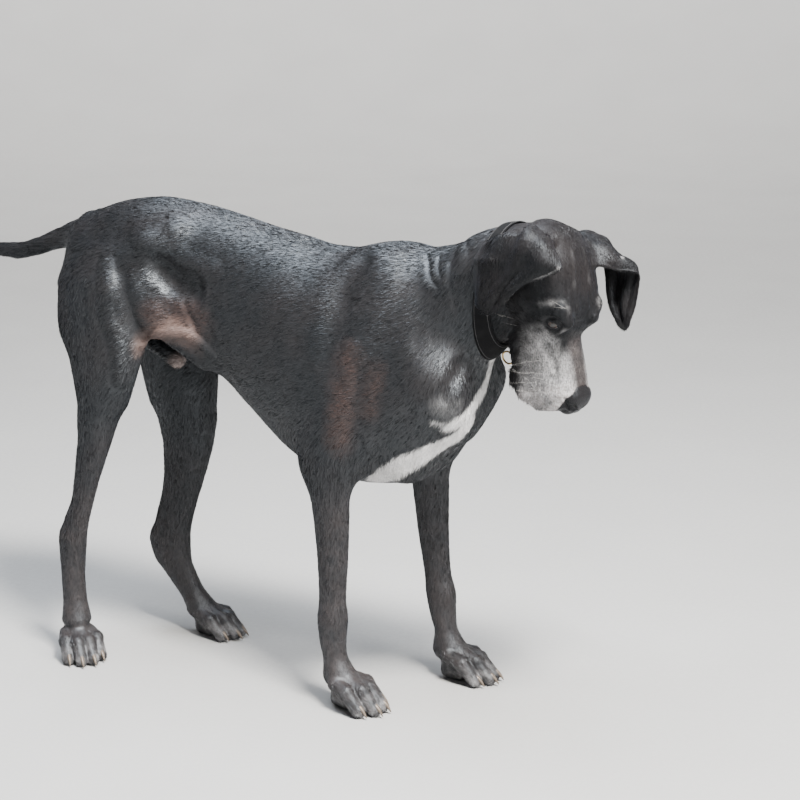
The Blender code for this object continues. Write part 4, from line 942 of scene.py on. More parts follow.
def lie_of_hair(points):
    """The way the hair lies at each point, before it is laid on the skin."""
    x, y, z = points.T
    ahead, up, out = head_place(points).T
    flow = np.tile((-1.0, 0.0, -0.42), (len(points), 1))
    neck_share = smooth(0.02, 0.14, x)
    flow += neck_share[:, None] * (np.array([-0.62, 0.0, -0.95]) - flow)
    front = smooth(0.08, 0.17, x) * (1 - smooth(0.62, 0.72, z))
    flow += front[:, None] * (np.array([-0.25, 0.0, -1.0]) - flow)
    legs = np.maximum(1 - smooth(0.44, 0.60, z), smooth(-0.50, -0.60, x) * (1 - smooth(0.72, 0.82, z)))
    flow += legs[:, None] * (np.array([-0.18, 0.0, -1.0]) - flow)
    paws = 1 - smooth(0.03, 0.08, z)
    flow += paws[:, None] * (np.array([0.7, 0.0, -0.7]) - flow)
    tail = 1 - smooth(-0.74, -0.69, x)
    tail_way = np.stack([-np.ones(len(x)), np.zeros(len(x)), np.where(x > -0.95, -0.2, 0.25)], axis=1)
    flow += tail[:, None] * (tail_way - flow)
    axes = head_frame()
    head = smooth(0.23, 0.27, x + 0.25 * (z - 0.8))
    face_way = -axes[0] - 0.35 * smooth(0.03, 0.06, out)[:, None] * axes[1]
    ears = np.maximum(smooth(0.074, 0.086, out), 0)
    face_way += ears[:, None] * (np.array([-0.1, 0.0, -1.0]) - face_way)
    flow += head[:, None] * (face_way - flow)
    return flow / np.linalg.norm(flow, axis=1, keepdims=True)


# Meshes


def new_piece(name, points, faces, material, smooth_shaded=True):
    """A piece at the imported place, with its material, riding on the body."""
    old = bpy.data.objects.get(name)
    if old:
        bpy.data.objects.remove(old)
    mesh = bpy.data.meshes.new(name)
    mesh.from_pydata((np.asarray(points) + SHIFT).tolist(), [], [list(map(int, face)) for face in faces])
    piece = bpy.data.objects.new(name, mesh)
    bpy.context.scene.collection.objects.link(piece)
    mesh.materials.append(material)
    if smooth_shaded:
        mesh.shade_smooth()
    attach(piece, "root")
    return piece


def array_mesh(name, points, corners, sizes):
    """A mesh straight from arrays: points, the corner indices of its faces, and each face's count of corners."""
    mesh = bpy.data.meshes.new(name)
    mesh.vertices.add(len(points))
    mesh.vertices.foreach_set("co", np.asarray(points, np.float32).ravel())
    mesh.loops.add(len(corners))
    mesh.loops.foreach_set("vertex_index", np.asarray(corners, np.int32))
    mesh.polygons.add(len(sizes))
    starts = np.concatenate([[0], np.cumsum(sizes)[:-1]])
    mesh.polygons.foreach_set("loop_start", starts.astype(np.int32))
    mesh.update(calc_edges=True)
    return mesh


def paint(mesh, points, copies=1):
    """Stores the marks of each point, painted highlight and shade among them, on the mesh, for its material."""
    white, grey, rust, pink, bare, dull = (np.repeat(share, copies) for share in markings_and_painted_light(points))
    full = np.ones(len(white))
    flow = np.repeat(np.abs(lie_of_hair(points)), copies, axis=0)
    for name, columns in (
        ("marks", (white, grey, rust, full)),
        ("skins", (pink, bare, dull, full)),
        ("lie", (flow[:, 0], flow[:, 1], flow[:, 2], full)),
    ):
        layer = mesh.color_attributes.new(name, "FLOAT_COLOR", "POINT")
        layer.data.foreach_set("color", np.column_stack(columns).astype(np.float32).ravel())


# Materials


class Nodes:
    """A short way to write a material's nodes."""

    def __init__(self, name):
        self.material = bpy.data.materials.new(name)
        self.material.use_nodes = True
        self.tree = self.material.node_tree
        self.shader = self.tree.nodes["Principled BSDF"]

    def add(self, kind, inputs=None, **settings):
        made = self.tree.nodes.new("ShaderNode" + kind)
        for key, value in settings.items():
            setattr(made, key, value)
        for key, value in (inputs or {}).items():
            self.put(made.inputs[key], value)
        return made

    def put(self, socket, value):
        if isinstance(value, bpy.types.NodeSocket):
            self.tree.links.new(value, socket)
        else:
            socket.default_value = value

    def place(self, scale=(1, 1, 1), turn=(0, 0, 0)):
        """The object's own coordinates, stretched and turned."""
        coordinates = self.add("TexCoord").outputs["Object"]
        return self.add("Mapping", {"Vector": coordinates, "Scale": scale, "Rotation": turn}).outputs[0]

    def grain(self, scale, stretch=(1, 1, 1), turn=(0, 0, 0), detail=3.0, roughness=0.55):
        where = self.place(stretch, turn)
        inputs = {"Vector": where, "Scale": scale, "Detail": detail, "Roughness": roughness}
        return self.add("TexNoise", inputs).outputs["Fac"]

    def curve(self, value, stops):
        """Maps a value through grey stops, each a place and a height."""
        ramp = self.add("ValToRGB", {"Fac": value})
        points = ramp.color_ramp.elements
        for _ in stops[2:]:
            points.new(0.5)
        for point, (place, height) in zip(points, stops):
            point.position = place
            point.color = (height, height, height, 1)
        return ramp.outputs["Color"]

    def maths(self, operation, first, second=0.0):
        return self.add("Math", {0: first, 1: second}, operation=operation).outputs[0]

    def mix(self, share, first, second, blend="MIX"):
        made = self.add("Mix", data_type="RGBA", blend_type=blend)
        self.put(made.inputs[0], share)
        for socket, value in ((made.inputs[6], first), (made.inputs[7], second)):
            self.put(socket, (*value, 1) if isinstance(value, tuple) and len(value) == 3 else value)
        return made.outputs[2]

    def bump(self, height, strength, distance, under=None):
        made = self.add("Bump", {"Height": height, "Strength": strength, "Distance": distance})
        if under is not None:
            self.put(made.inputs["Normal"], under)
        return made.outputs[0]

    def split(self, name):
        colours = self.add("Attribute", attribute_name=name)
        return self.add("SeparateColor", {"Color": colours.outputs["Color"]}).outputs

    def finish(self, **sockets):
        for key, value in sockets.items():
            self.put(self.shader.inputs[key.replace("_", " ")], value)
        return self.material


def hair_grain(nodes, across, along, detail):
    """Streaks that run along the lie of the hair, from three fixed ways mixed by the body's own lie."""
    lie = nodes.split("lie")
    level = nodes.grain(1.0, (along, across, across), detail=detail)
    upright = nodes.grain(1.0, (across, across, along), detail=detail)
    slanted = nodes.grain(1.0, (along, across, across), (0, math.radians(50), 0), detail=detail)
    upright_share = nodes.curve(lie["Blue"], ((0.72, 0), (0.94, 1)))
    level_share = nodes.curve(lie["Red"], ((0.62, 0), (0.88, 1)))
    mixed = nodes.mix(level_share, slanted, level)
    return nodes.mix(upright_share, mixed, upright)


def coat_material(name, looks, shine):
    nodes = Nodes(name)
    marks, skins = nodes.split("marks"), nodes.split("skins")
    fine = hair_grain(nodes, 560.0, 110.0, 3.0)
    broad = nodes.grain(9.0, detail=4.0)
    speckle = nodes.grain(330.0, detail=2.0)
    shade = nodes.curve(fine, ((0.30, 0.0), (0.72, 1.0)))
    black = nodes.mix(shade, tuple(c * 0.5 for c in looks.black), tuple(c * 1.9 for c in looks.black))
    black = nodes.mix(nodes.curve(broad, ((0.40, 0), (0.68, 0.55))), black, (0.0125, 0.0095, 0.0090))
    rust = nodes.mix(shade, (0.024, 0.0125, 0.0095), (0.080, 0.044, 0.034))
    colour = nodes.mix(nodes.maths("MULTIPLY", marks["Blue"], 0.8), black, rust)
    pink = nodes.mix(broad, (0.115, 0.070, 0.056), (0.235, 0.155, 0.130))
    colour = nodes.mix(skins["Red"], colour, pink)
    dots = nodes.curve(nodes.mix(0.5, speckle, fine), ((0.40, 0.0), (0.60, 1.0)))
    # The grey share carries grey hair and also the painted highlight lines of the forehead
    greyed = nodes.maths("MULTIPLY", marks["Green"], nodes.maths("ADD", nodes.maths("MULTIPLY", dots, 0.62), 0.38))
    colour = nodes.mix(greyed, colour, (0.46, 0.455, 0.46))
    white = nodes.mix(shade, (0.50, 0.49, 0.49), (0.82, 0.81, 0.80))
    colour = nodes.mix(marks["Red"], colour, white)
    leather_cells = nodes.add("TexVoronoi", {"Vector": nodes.place(), "Scale": 620.0}).outputs["Distance"]
    leather = nodes.mix(leather_cells, (0.003, 0.0028, 0.003), (0.010, 0.009, 0.0095))
    colour = nodes.mix(skins["Green"], colour, leather)
    gloss = nodes.curve(fine, ((0.30, 0.50), (0.70, 0.36)))
    gloss = nodes.mix(skins["Blue"], gloss, (0.62, 0.62, 0.62))
    gloss = nodes.mix(skins["Green"], gloss, (0.36, 0.36, 0.36))
    gloss = nodes.mix(nodes.maths("MAXIMUM", marks["Red"], nodes.maths("MAXIMUM", marks["Green"], skins["Red"])), gloss, (0.6, 0.6, 0.6))
    normal = nodes.bump(fine, 0.60, 0.0009)
    skin_lines = nodes.grain(150.0, (1.0, 1.0, 0.5), detail=2.0)
    normal = nodes.bump(skin_lines, 0.12, 0.0010, normal)
    hide = nodes.maths("MULTIPLY", leather_cells, skins["Green"])
    normal = nodes.bump(hide, 0.5, 0.0008, normal)
    return nodes.finish(
        Base_Color=colour, Roughness=gloss, Normal=normal, Specular_IOR_Level=shine, Specular_Tint=(0.84, 0.92, 1.0, 1.0),
        Sheen_Weight=0.03, Sheen_Roughness=0.4, Sheen_Tint=(0.62, 0.74, 1.0, 1.0),
    )


# Pieces

BODY_SHINE, FACE_SHINE = 0.46, 0.16


def relaxed(points, faces, share, rounds=14):
    """The points drawn towards the middle of their neighbours, each by its share."""
    ends = np.concatenate([faces[:, [k, (k + 1) % 4]] for k in range(4)])
    count = np.maximum(np.bincount(ends[:, 0], minlength=len(points)), 1)
    for _ in range(rounds):
        middle = np.stack([np.bincount(ends[:, 0], points[ends[:, 1], a], len(points)) / count for a in range(3)], axis=1)
        points = points + 0.5 * share[:, None] * (middle - points)
    return points


def skin_arrays(looks):
    """Points and faces of the whole skin: the body up to the collar, and a finer head from there."""
    coarse = 1.0
    eyes = [np.array(on_head(EYE_AT[0], EYE_AT[1], side * EYE_AT[2])) for side in (-1, 1)]
    spots = eyes + [np.array(on_head(0.318, -0.055, 0))]
    draw_in = inset(looks.coat_depth, spots, 0.045)
    body_forms = FORMS["body"] + relief_forms() + [draw_in]
    head_forms_all = FORMS["body"] + FORMS["head"] + relief_forms() + [draw_in] + face_forms()
    body, quads = wrapped(body_forms, (-1.22, -0.22, -0.02), (0.30, 0.22, 0.99), looks.body_cell * coarse)
    x, y, z = body.T
    share = smooth(-0.34, -0.28, x) * smooth(0.42, 0.50, z) * (1 - smooth(-0.05, -0.03, collar_side(body)))
    share *= 1 - smooth(0.06, 0.08, x) * smooth(0.74, 0.78, z)
    body = relaxed(body, quads, share)
    quads = quads[collar_side(body)[quads].max(axis=1) < 0.006]
    far = ((-0.02, -0.24, 0.56), (0.44, 0.16, 1.02))
    head, head_quads = wrapped(head_forms_all, *far, looks.head_cell * coarse)
    on_neck = distance(head, FORMS["body"]) < 0.0025
    behind = collar_side(head) < -0.006
    low = np.array(far[0]) + 0.012
    outside = np.any(head < low, axis=1)
    drop = (on_neck & behind) | outside | (collar_side(head) < -0.10)
    head_quads = head_quads[~drop[head_quads].any(axis=1)]
    points = np.concatenate([body, head])
    faces = np.concatenate([quads, head_quads + len(body)])
    used, index = np.unique(faces, return_inverse=True)
    return points[used], index.reshape(faces.shape), body_forms, head_forms_all


def make_skin(looks):
    points, faces, body_forms, head_forms_all = skin_arrays(looks)
    mesh = bpy.data.meshes.new("skin")
    mesh.from_pydata(points.tolist(), [], faces.tolist())
    shape = bmesh.new()
    shape.from_mesh(mesh)
    low = [edge for edge in shape.edges if max(v.co.z for v in edge.verts) < 0.10]
    bmesh.ops.subdivide_edges(shape, edges=low, cuts=1, use_grid_fill=True)
    loose = [v for v in shape.verts if not v.link_faces]
    bmesh.ops.delete(shape, geom=loose, context="VERTS")
    shape.to_mesh(mesh)
    shape.free()
    points = np.empty(len(mesh.vertices) * 3)
    mesh.vertices.foreach_get("co", points)
    points = points.reshape(-1, 3)
    paws = points[:, 2] < 0.11
    points[paws] = settled(points[paws], body_forms)
    points[:, 2] = np.maximum(points[:, 2], 0.0)
    paint(mesh, points)
    mesh.vertices.foreach_set("co", (points + SHIFT).ravel())
    mesh.update()
    skin = bpy.data.objects.new("skin", mesh)
    bpy.context.scene.collection.objects.link(skin)
    mesh.materials.append(coat_material("body_coat", looks, BODY_SHINE))
    mesh.materials.append(coat_material("face_coat", looks, FACE_SHINE))
    ends = np.empty(len(mesh.polygons), np.int32)
    mesh.polygons.foreach_get("loop_start", ends)
    first = np.empty(len(mesh.loops), np.int32)
    mesh.loops.foreach_get("vertex_index", first)
    ahead_of_collar = collar_side(points[first[ends]]) > 0
    mesh.polygons.foreach_set("material_index", ahead_of_collar.astype(np.int32))
    mesh.shade_smooth()
    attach(skin, "root")
    flesh = [n for n in frame["nodes"] if not n.startswith(("eye_", "collar"))]
    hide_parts(*flesh)
    return skin


def skin_samples(looks, count, weight):
    """Places spread over the skin by area and weight: roots, normals, and the random numbers' source."""
    mesh = bpy.data.objects["skin"].data
    mesh.calc_loop_triangles()
    points = np.empty(len(mesh.vertices) * 3)
    mesh.vertices.foreach_get("co", points)
    points = points.reshape(-1, 3) - SHIFT
    normals = np.empty(len(mesh.vertices) * 3)
    mesh.vertices.foreach_get("normal", normals)
    normals = normals.reshape(-1, 3)
    corners = np.empty(len(mesh.loop_triangles) * 3, int)
    mesh.loop_triangles.foreach_get("vertices", corners)
    corners = corners.reshape(-1, 3)
    a, b, c = (points[corners[:, k]] for k in range(3))
    area = np.linalg.norm(np.cross(b - a, c - a), axis=1) / 2
    chance = area * weight((a + b + c) / 3)
    rng = np.random.default_rng(SEED)
    chosen = rng.choice(len(corners), count, p=chance / chance.sum())
    u, v = rng.random((2, count))
    over = u + v > 1
    u[over], v[over] = 1 - u[over], 1 - v[over]
    mixed = np.column_stack([1 - u - v, u, v])
    roots = (points[corners[chosen]] * mixed[:, :, None]).sum(axis=1)
    ways = (normals[corners[chosen]] * mixed[:, :, None]).sum(axis=1)
    return roots, ways / np.linalg.norm(ways, axis=1, keepdims=True), rng


def unwrapped(roots, normals):
    """Each root's place on a flat unwrap of the body: rectangles for trunk, neck, head, ears, tail and legs."""
    x, y, z = roots.T
    ahead, up, out = head_place(roots).T
    turn = lambda a, b: np.arctan2(a, b) / (2 * math.pi) + 0.5
    u = 0.02 + 0.52 * np.clip((x + 0.72) / 0.95, 0, 1)
    v = 0.50 + 0.46 * turn(y, z - 0.66)
    for side, row in ((-1, 0.0), (1, 0.12)):
        for fore, column in ((True, 0.0), (False, 0.24)):
            mine = (np.sign(y) == side) & (z < 0.47) & ((x > -0.3) == fore)
            centre = (-0.07 + 0.08 * (side > 0)) if fore else (-0.62 + 0.09 * (side > 0))
            angle = turn(y - 0.112 * side, x - centre)
            u = np.where(mine, 0.02 + row + column + 0.10 * angle, u)
            v = np.where(mine, 0.02 + 0.44 * z / 0.47, v)
    tail = x < -0.72
    u = np.where(tail, 0.56 + 0.40 * (x + 1.2) / 0.48, u)
    v = np.where(tail, 0.02 + 0.08 * turn(y, z - 0.79), v)
    neck = (x > 0.06) & (z > 0.60)
    u = np.where(neck, 0.57 + 0.18 * np.clip((x - 0.06) / 0.22, 0, 1), u)
    v = np.where(neck, 0.62 + 0.34 * turn(y, z - 0.78), v)
    head = (collar_side(roots) > 0.01) & (out < 0.078)
    u = np.where(head, 0.76 + 0.22 * np.clip(ahead / 0.35, 0, 1), u)
    v = np.where(head, 0.50 + 0.46 * turn((roots - HEAD_AT) @ head_frame()[2], up + 0.07), v)
    ear = (out > 0.078) & (z > 0.7)
    inner = (normals @ head_frame()[2]) * np.sign((roots - HEAD_AT) @ head_frame()[2]) < 0
    right = (roots - HEAD_AT) @ head_frame()[2] > 0
    u = np.where(ear, 0.56 + 0.20 * inner + 0.19 * np.clip(ahead / 0.21, 0, 1), u)
    v = np.where(ear, 0.14 + 0.22 * right + 0.20 * np.clip((up + 0.17) / 0.21, 0, 1), v)
    return np.clip(np.column_stack([u, v]), 0.004, 0.992)


def tuft_length(roots):
    """The hair's length: shortest on the face, ears and feet, longer behind the thighs, under the breast and tail."""
    x, y, z = roots.T
    ahead, up, out = head_place(roots).T
    length = np.full(len(roots), 0.0105)
    face = smooth(0.24, 0.29, x + 0.25 * (z - 0.8))
    length += face * (0.0052 - length)
    length += smooth(0.21, 0.27, ahead) * face * (0.0036 - length)
    length += (1 - smooth(0.04, 0.30, z)) * (0.0062 - length)
    length *= 1 + 0.55 * smooth(-0.60, -0.66, x) * smooth(0.45, 0.55, z) * (1 - smooth(0.80, 0.86, z))
    length *= 1 + 0.5 * (1 - smooth(-0.80, -0.72, x))
    length *= 1 + 0.35 * smooth(-0.30, -0.10, x) * (1 - smooth(0.47, 0.52, z)) * smooth(0.38, 0.42, z)
    return length


def tuft_weight(places):
    x, y, z = places.T
    ahead, up, out = head_place(places).T
    weight = np.ones(len(places))
    weight += 1.2 * smooth(0.24, 0.29, x + 0.25 * (z - 0.8))
    weight += 0.6 * (1 - smooth(0.3, 0.5, z)) + 0.8 * (1 - smooth(-0.76, -0.70, x))
    groin = smooth(-0.54, -0.49, x) * (1 - smooth(-0.36, -0.31, x)) * (1 - smooth(0.65, 0.68, z)) * smooth(0.58, 0.60, z)
    weight *= 1 - 0.35 * groin
    bare = smooth(0.0, 0.004, ahead - 0.286 - 0.55 * np.maximum(out - 0.010, 0)) * smooth(-0.090, -0.080, up)
    eye = np.linalg.norm(np.column_stack([ahead, up, out]) - np.array(EYE_AT), axis=1)
    weight *= (1 - bare) * smooth(0.0165, 0.020, eye)
    weight *= (z > 0.006) & (np.abs(collar_side(places)) > 0.013) | (np.abs(collar_side(places)) > 0.02) & (z > 0.006)
    return np.maximum(weight, 0)


def make_coat(looks):
    """Thin tapered tufts that lie along the skin, in pieces that share the skin's two materials, body and face."""
    count = looks.tufts // 1
    roots, normals, rng = skin_samples(looks, count, tuft_weight)
    flow = lie_of_hair(roots) + 0.10 * rng.normal(size=(count, 3))
    flow -= (flow * normals).sum(axis=1)[:, None] * normals
    flow /= np.maximum(np.linalg.norm(flow, axis=1, keepdims=True), 1e-6)
    across = np.cross(normals, flow)
    length = tuft_length(roots) * rng.uniform(0.65, 1.25, count)
    wide = np.clip(length * 0.085, 0.00032, 0.00090)
    roll = 0.62 * rng.normal(size=(count, 1)) * normals
    lift = looks.coat_depth * rng.uniform(0.35, 1.0, count) * np.clip(length / 0.0105, 0.5, 1.3)
    lay = lambda t, h, w: (
        roots + (t * length)[:, None] * flow + (h * lift - 0.0002)[:, None] * normals + (w * wide)[:, None] * (across + roll)
    )
    blade = np.stack([lay(0, 0.0, 0.5), lay(0, 0.0, -0.5), lay(0.5, 0.75, -0.42), lay(0.5, 0.75, 0.42), lay(1, 1.0, 0)], axis=1)
    # No tuft goes under the floor
    blade[:, :, 2] = np.maximum(blade[:, :, 2], 0.0004)
    place = unwrapped(roots, normals)
    per_piece = 62000
    on_head_part = collar_side(roots) > 0
    parts = []
    for share, material in ((~on_head_part, bpy.data.materials["body_coat"]), (on_head_part, bpy.data.materials["face_coat"])):
        chosen = np.flatnonzero(share)
        parts += [(chosen[start : start + per_piece], material) for start in range(0, len(chosen), per_piece)]
    for number, (part, material) in enumerate(parts):
        points = blade[part].reshape(-1, 3)
        total = len(points) // 5
        base = 5 * np.arange(total)[:, None]
        corners = np.concatenate([base + [0, 1, 2, 3], base + [3, 2, 4]], axis=1).ravel()
        sizes = np.tile([4, 3], total)
        name = f"coat_{number + 1}"
        mesh = array_mesh(name, points + SHIFT, corners, sizes)
        paint(mesh, roots[part], 5)
        spread = 0.003 * np.array([(0, 0), (1, 0), (1, 0.5), (0, 0.5), (1, 0.5), (0, 0.5), (0.5, 1)])
        layer = mesh.uv_layers.new(name="OFBake")
        corners_uv = place[part][:, None, :] + spread[None, [0, 1, 2, 3, 5, 4, 6]] - 0.0015
        layer.data.foreach_set("uv", corners_uv.astype(np.float32).ravel())
        mesh.materials.append(material)
        mesh.shade_smooth()
        piece = bpy.data.objects.new(name, mesh)
        bpy.context.scene.collection.objects.link(piece)
        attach(piece, "root")


def eye_material():
    nodes = Nodes("eye_ball")
    rings = nodes.add("Attribute", attribute_name="ring").outputs["Fac"]
    fibres = nodes.grain(700.0, detail=4.0)
    iris = nodes.mix(fibres, (0.010, 0.0052, 0.0034), (0.042, 0.020, 0.011))
    colour = nodes.mix(nodes.curve(rings, ((0.24, 0), (0.28, 1))), (0.002, 0.002, 0.002), iris)
    colour = nodes.mix(nodes.curve(rings, ((0.54, 0), (0.62, 1))), colour, (0.006, 0.004, 0.003))
    # The white of the eye is painted nearly black: painted shade of the brow over the eye
    veins = nodes.curve(nodes.grain(260.0, detail=5.0), ((0.50, 0), (0.62, 0.6)))
    white = nodes.mix(veins, (0.030, 0.023, 0.021), (0.026, 0.012, 0.010))
    colour = nodes.mix(nodes.curve(rings, ((0.76, 0), (0.84, 1))), colour, white)
    return nodes.finish(Base_Color=colour, Roughness=0.30, Coat_Weight=0.6, Coat_Roughness=0.03, Specular_IOR_Level=0.25)


def make_eye(side):
    """An eyeball with a bulging cornea, turned the way the eye looks."""
    word = "right" if side > 0 else "left"
    axes = head_frame()
    looks = unit(np.array([EYE_LOOKS[0], EYE_LOOKS[1], EYE_LOOKS[2] * side]) @ axes)
    across = unit(np.cross(looks, (0, 0, 1)))
    up = np.cross(across, looks)
    centre = np.array(on_head(EYE_AT[0], EYE_AT[1], side * EYE_AT[2]))
    points, faces, ring = [centre + EYE_RADIUS * 1.06 * looks], [], [0.0]
    rows, spokes = 40, 64
    for i in range(1, rows):
        angle = math.pi * i / rows
        bulge = 1 + 0.06 * math.exp(-((angle / 0.42) ** 4))
        for j in range(spokes):
            turn = 2 * math.pi * j / spokes
            ray = math.cos(angle) * looks + math.sin(angle) * (math.cos(turn) * across + math.sin(turn) * up)
            points.append(centre + EYE_RADIUS * bulge * ray)
            ring.append(min(angle / 1.25, 1.0))
    points.append(centre - EYE_RADIUS * looks)
    ring.append(1.0)
    for j in range(spokes):
        k = (j + 1) % spokes
        faces.append((0, 1 + j, 1 + k))
        for i in range(rows - 2):
            a, b = 1 + i * spokes, 1 + (i + 1) * spokes
            faces.append((a + j, b + j, b + k, a + k))
        last = 1 + (rows - 2) * spokes
        faces.append((last + j, len(points) - 1, last + k))
    piece = new_piece(f"eye_{word}_ball", points, faces, eye_material())
    layer = piece.data.attributes.new("ring", "FLOAT", "POINT")
    layer.data.foreach_set("value", np.array(ring, np.float32))
    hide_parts(f"eye_{word}")
    # The haw and tear line: a wet roll along the lower lid, its pink painted dark as shade under the brow
    slit_inner = unit(looks + np.array([0.44, 0.44, -0.43 * side]) @ axes)
    slit_outer = unit(looks + np.array([-0.46, -0.46, 0.44 * side]) @ axes)
    down = unit(np.cross(slit_inner - slit_outer, looks))
    down = down if down[2] < 0 else -down
    path = []
    for t in np.linspace(0, 1, 17):
        ray = unit((1 - t) * slit_inner + t * slit_outer + 0.36 * math.sin(math.pi * (0.12 + 0.80 * t)) * down)
        path.append(centre + (EYE_RADIUS + 0.0004) * ray)
    radii = 0.0006 * np.sin(np.linspace(0.35, math.pi - 0.5, 17)) + 0.0003
    radii[:5] += np.linspace(0.0010, 0, 5)
    points, faces = tube(path, radii, 10)
    new_piece(f"haw_{word}", points, faces, haw_material())


def haw_material():
    nodes = Nodes("haw")
    wet = nodes.grain(500.0, detail=3.0)
    # Painted shade: the haw's pink is darkened as if under the brow's shadow
    colour = nodes.mix(wet, (0.016, 0.008, 0.007), (0.040, 0.020, 0.018))
    return nodes.finish(Base_Color=colour, Roughness=0.18, Coat_Weight=0.6, Coat_Roughness=0.08, Normal=nodes.bump(wet, 0.3, 0.0004))


def tube(path, radii, sides):
    """Points and faces of a rounded tube along a path, closed at both ends."""
    path = np.array(path, float)
    ways = np.gradient(path, axis=0)
    ways /= np.linalg.norm(ways, axis=1, keepdims=True)
    helper = unit(np.cross(ways[0], (0.3, 0.2, 0.93)))
    points, faces = [], []
    for centre, way, radius in zip(path, ways, radii):
        helper = unit(helper - (helper @ way) * way)
        other = np.cross(way, helper)
        for k in range(sides):
            turn = 2 * math.pi * k / sides
            points.append(centre + radius * (math.cos(turn) * helper + math.sin(turn) * other))
    for i in range(len(path) - 1):
        for k in range(sides):
            m = (k + 1) % sides
            faces.append((i * sides + k, i * sides + m, (i + 1) * sides + m, (i + 1) * sides + k))
    for row, end in ((0, path[0] - ways[0] * radii[0] * 0.5), (len(path) - 1, path[-1] + ways[-1] * radii[-1] * 0.5)):
        points.append(end)
        for k in range(sides):
            m = (k + 1) % sides
            pair = (row * sides + m, row * sides + k) if row == 0 else (row * sides + k, row * sides + m)
            faces.append((*pair, len(points) - 1))
    return points, faces


def claw_material():
    nodes = Nodes("claw_horn")
    bands = nodes.grain(300.0, (1, 1, 3), detail=4.0)
    colour = nodes.mix(bands, (0.018, 0.014, 0.012), (0.15, 0.115, 0.085))
    return nodes.finish(Base_Color=colour, Roughness=nodes.curve(bands, ((0, 0.3), (1, 0.55))), Normal=nodes.bump(bands, 0.3, 0.0004))


def make_claws():
    """Sixteen curved claws, each in its toe."""
    material = claw_material()
    for foot, (middle, turn, size) in PAWS.items():
        way = math.radians(turn)
        ahead, out = np.array([math.cos(way), math.sin(way), 0]), np.array([-math.sin(way), math.cos(way), 0])
        for number, (side, reach) in enumerate(((-0.0345, 0.030), (-0.0125, 0.050), (0.0125, 0.050), (0.0345, 0.030))):
            start = np.array([*middle, 0.0]) + size * ((reach + 0.006) * ahead + side * out)
            start = start + np.array([0, 0, 0.0215 * size])
            aim = unit(ahead + 3 * side * out)
            path = [start + size * (0.021 * t * aim + np.array([0, 0, -0.004 * t - 0.0135 * t * t])) for t in np.linspace(0, 1, 9)]
            radii = 0.0046 * size * np.array([1.0, 1.0, 0.98, 0.92, 0.84, 0.72, 0.56, 0.38, 0.16])
            points, faces = tube(path, radii, 12)
            piece = new_piece(f"claw_{foot}_{number + 1}", points, faces, material)
            piece.data.update()


def whisker_material():
    nodes = Nodes("whisker")
    worn = nodes.grain(120.0, detail=2.0)
    return nodes.finish(Base_Color=nodes.mix(worn, (0.02, 0.018, 0.017), (0.35, 0.34, 0.33)), Roughness=0.35)


def make_whiskers():
    """Whiskers in rows on the flews, on the cheek moles and over the eyes."""
    rng = np.random.default_rng(SEED + 1)
    axes = head_frame()
    points, faces = [], []
    forms = FORMS["body"] + FORMS["head"]
    for side in (-1, 1):
        roots = [(0.232 + 0.017 * k, -0.080 - 0.016 * row, 0.060, 0.026) for row in range(4) for k in range(4)]
        roots += [(0.150, -0.118, 0.075, 0.034), (0.156, -0.122, 0.075, 0.028), (0.147, -0.124, 0.075, 0.024)]
        roots += [(0.140, 0.016, 0.050, 0.024), (0.146, 0.014, 0.046, 0.020), (0.244, -0.142, 0.060, 0.018)]
        for f, u, out, length in roots:
            f, u = f + 0.003 * rng.normal(), u + 0.003 * rng.normal()
            start = np.array(on_head(f, u, side * out))
            aim = unit(np.array([0, 0, -side]) @ axes) if abs(u) > 0.02 else unit(np.array([0, -1, 0]) @ axes)
            for _ in range(30):
                start = start + min(float(distance(start[None], forms)[0]), 0.01) * aim
            way = unit(np.array([-0.25 + 0.2 * rng.normal(), -0.45 + 0.2 * rng.normal(), side * 0.85]) @ axes)
            bend = unit(np.array([-0.3, -0.9, 0]) @ axes)
            steps = np.linspace(0, 1, 7)
            path = [start - 0.001 * way + length * (t * way + 0.35 * t * t * bend) for t in steps]
            more, sides = tube(path, 0.00028 * (1 - 0.85 * steps), 4)
            faces += [[corner + len(points) for corner in face] for face in sides]
            points += more
    new_piece("whiskers", points, faces, whisker_material())


def strap_paths(count, shifts):
    """Loops of the neck's surface under the collar, as centres, rays and reaches."""
    centre, along = np.array(COLLAR_AT), unit(COLLAR_ALONG)
    up = unit(np.cross(along, (0, 1, 0)))
    side = np.cross(along, up)
    angles = np.linspace(0, 2 * math.pi, count, endpoint=False)
    rays = np.outer(np.cos(angles), up) + np.outer(np.sin(angles), side)
    found = []
    for shift in shifts:
        start = centre + shift * COLLAR_WIDTH * along
        reach = np.full(count, 0.16)
        for _ in range(60):
            reach -= np.minimum(distance(start + reach[:, None] * rays, FORMS["body"]), 0.02)
        for _ in range(count // 3):
            reach = np.maximum(reach, (np.roll(reach, 1) + np.roll(reach, -1)) / 2)
        for _ in range(3):
            reach = (np.roll(reach, 1) + 2 * reach + np.roll(reach, -1)) / 4
        found.append((start, rays, reach))
    return found


def webbing_material():
    nodes = Nodes("webbing")
    ribs = nodes.add("TexWave", {"Vector": nodes.place((1, 1, 1)), "Scale": 260.0, "Distortion": 0.6}).outputs["Fac"]
    rows = nodes.add("TexWave", {"Vector": nodes.place((1, 1, 1)), "Scale": 300.0}, bands_direction="Z").outputs["Fac"]
    threads = nodes.maths("MULTIPLY", ribs, rows)
    wear = nodes.grain(60.0, detail=4.0)
    colour = nodes.mix(threads, (0.0014, 0.0015, 0.0019), (0.0060, 0.0064, 0.0078))
    colour = nodes.mix(nodes.curve(wear, ((0.5, 0), (0.75, 0.25))), colour, (0.012, 0.0117, 0.0117))
    gloss = nodes.curve(threads, ((0, 0.90), (1, 0.72)))
    return nodes.finish(
        Base_Color=colour, Roughness=gloss, Normal=nodes.bump(threads, 0.6, 0.0006), Specular_IOR_Level=0.12
    )


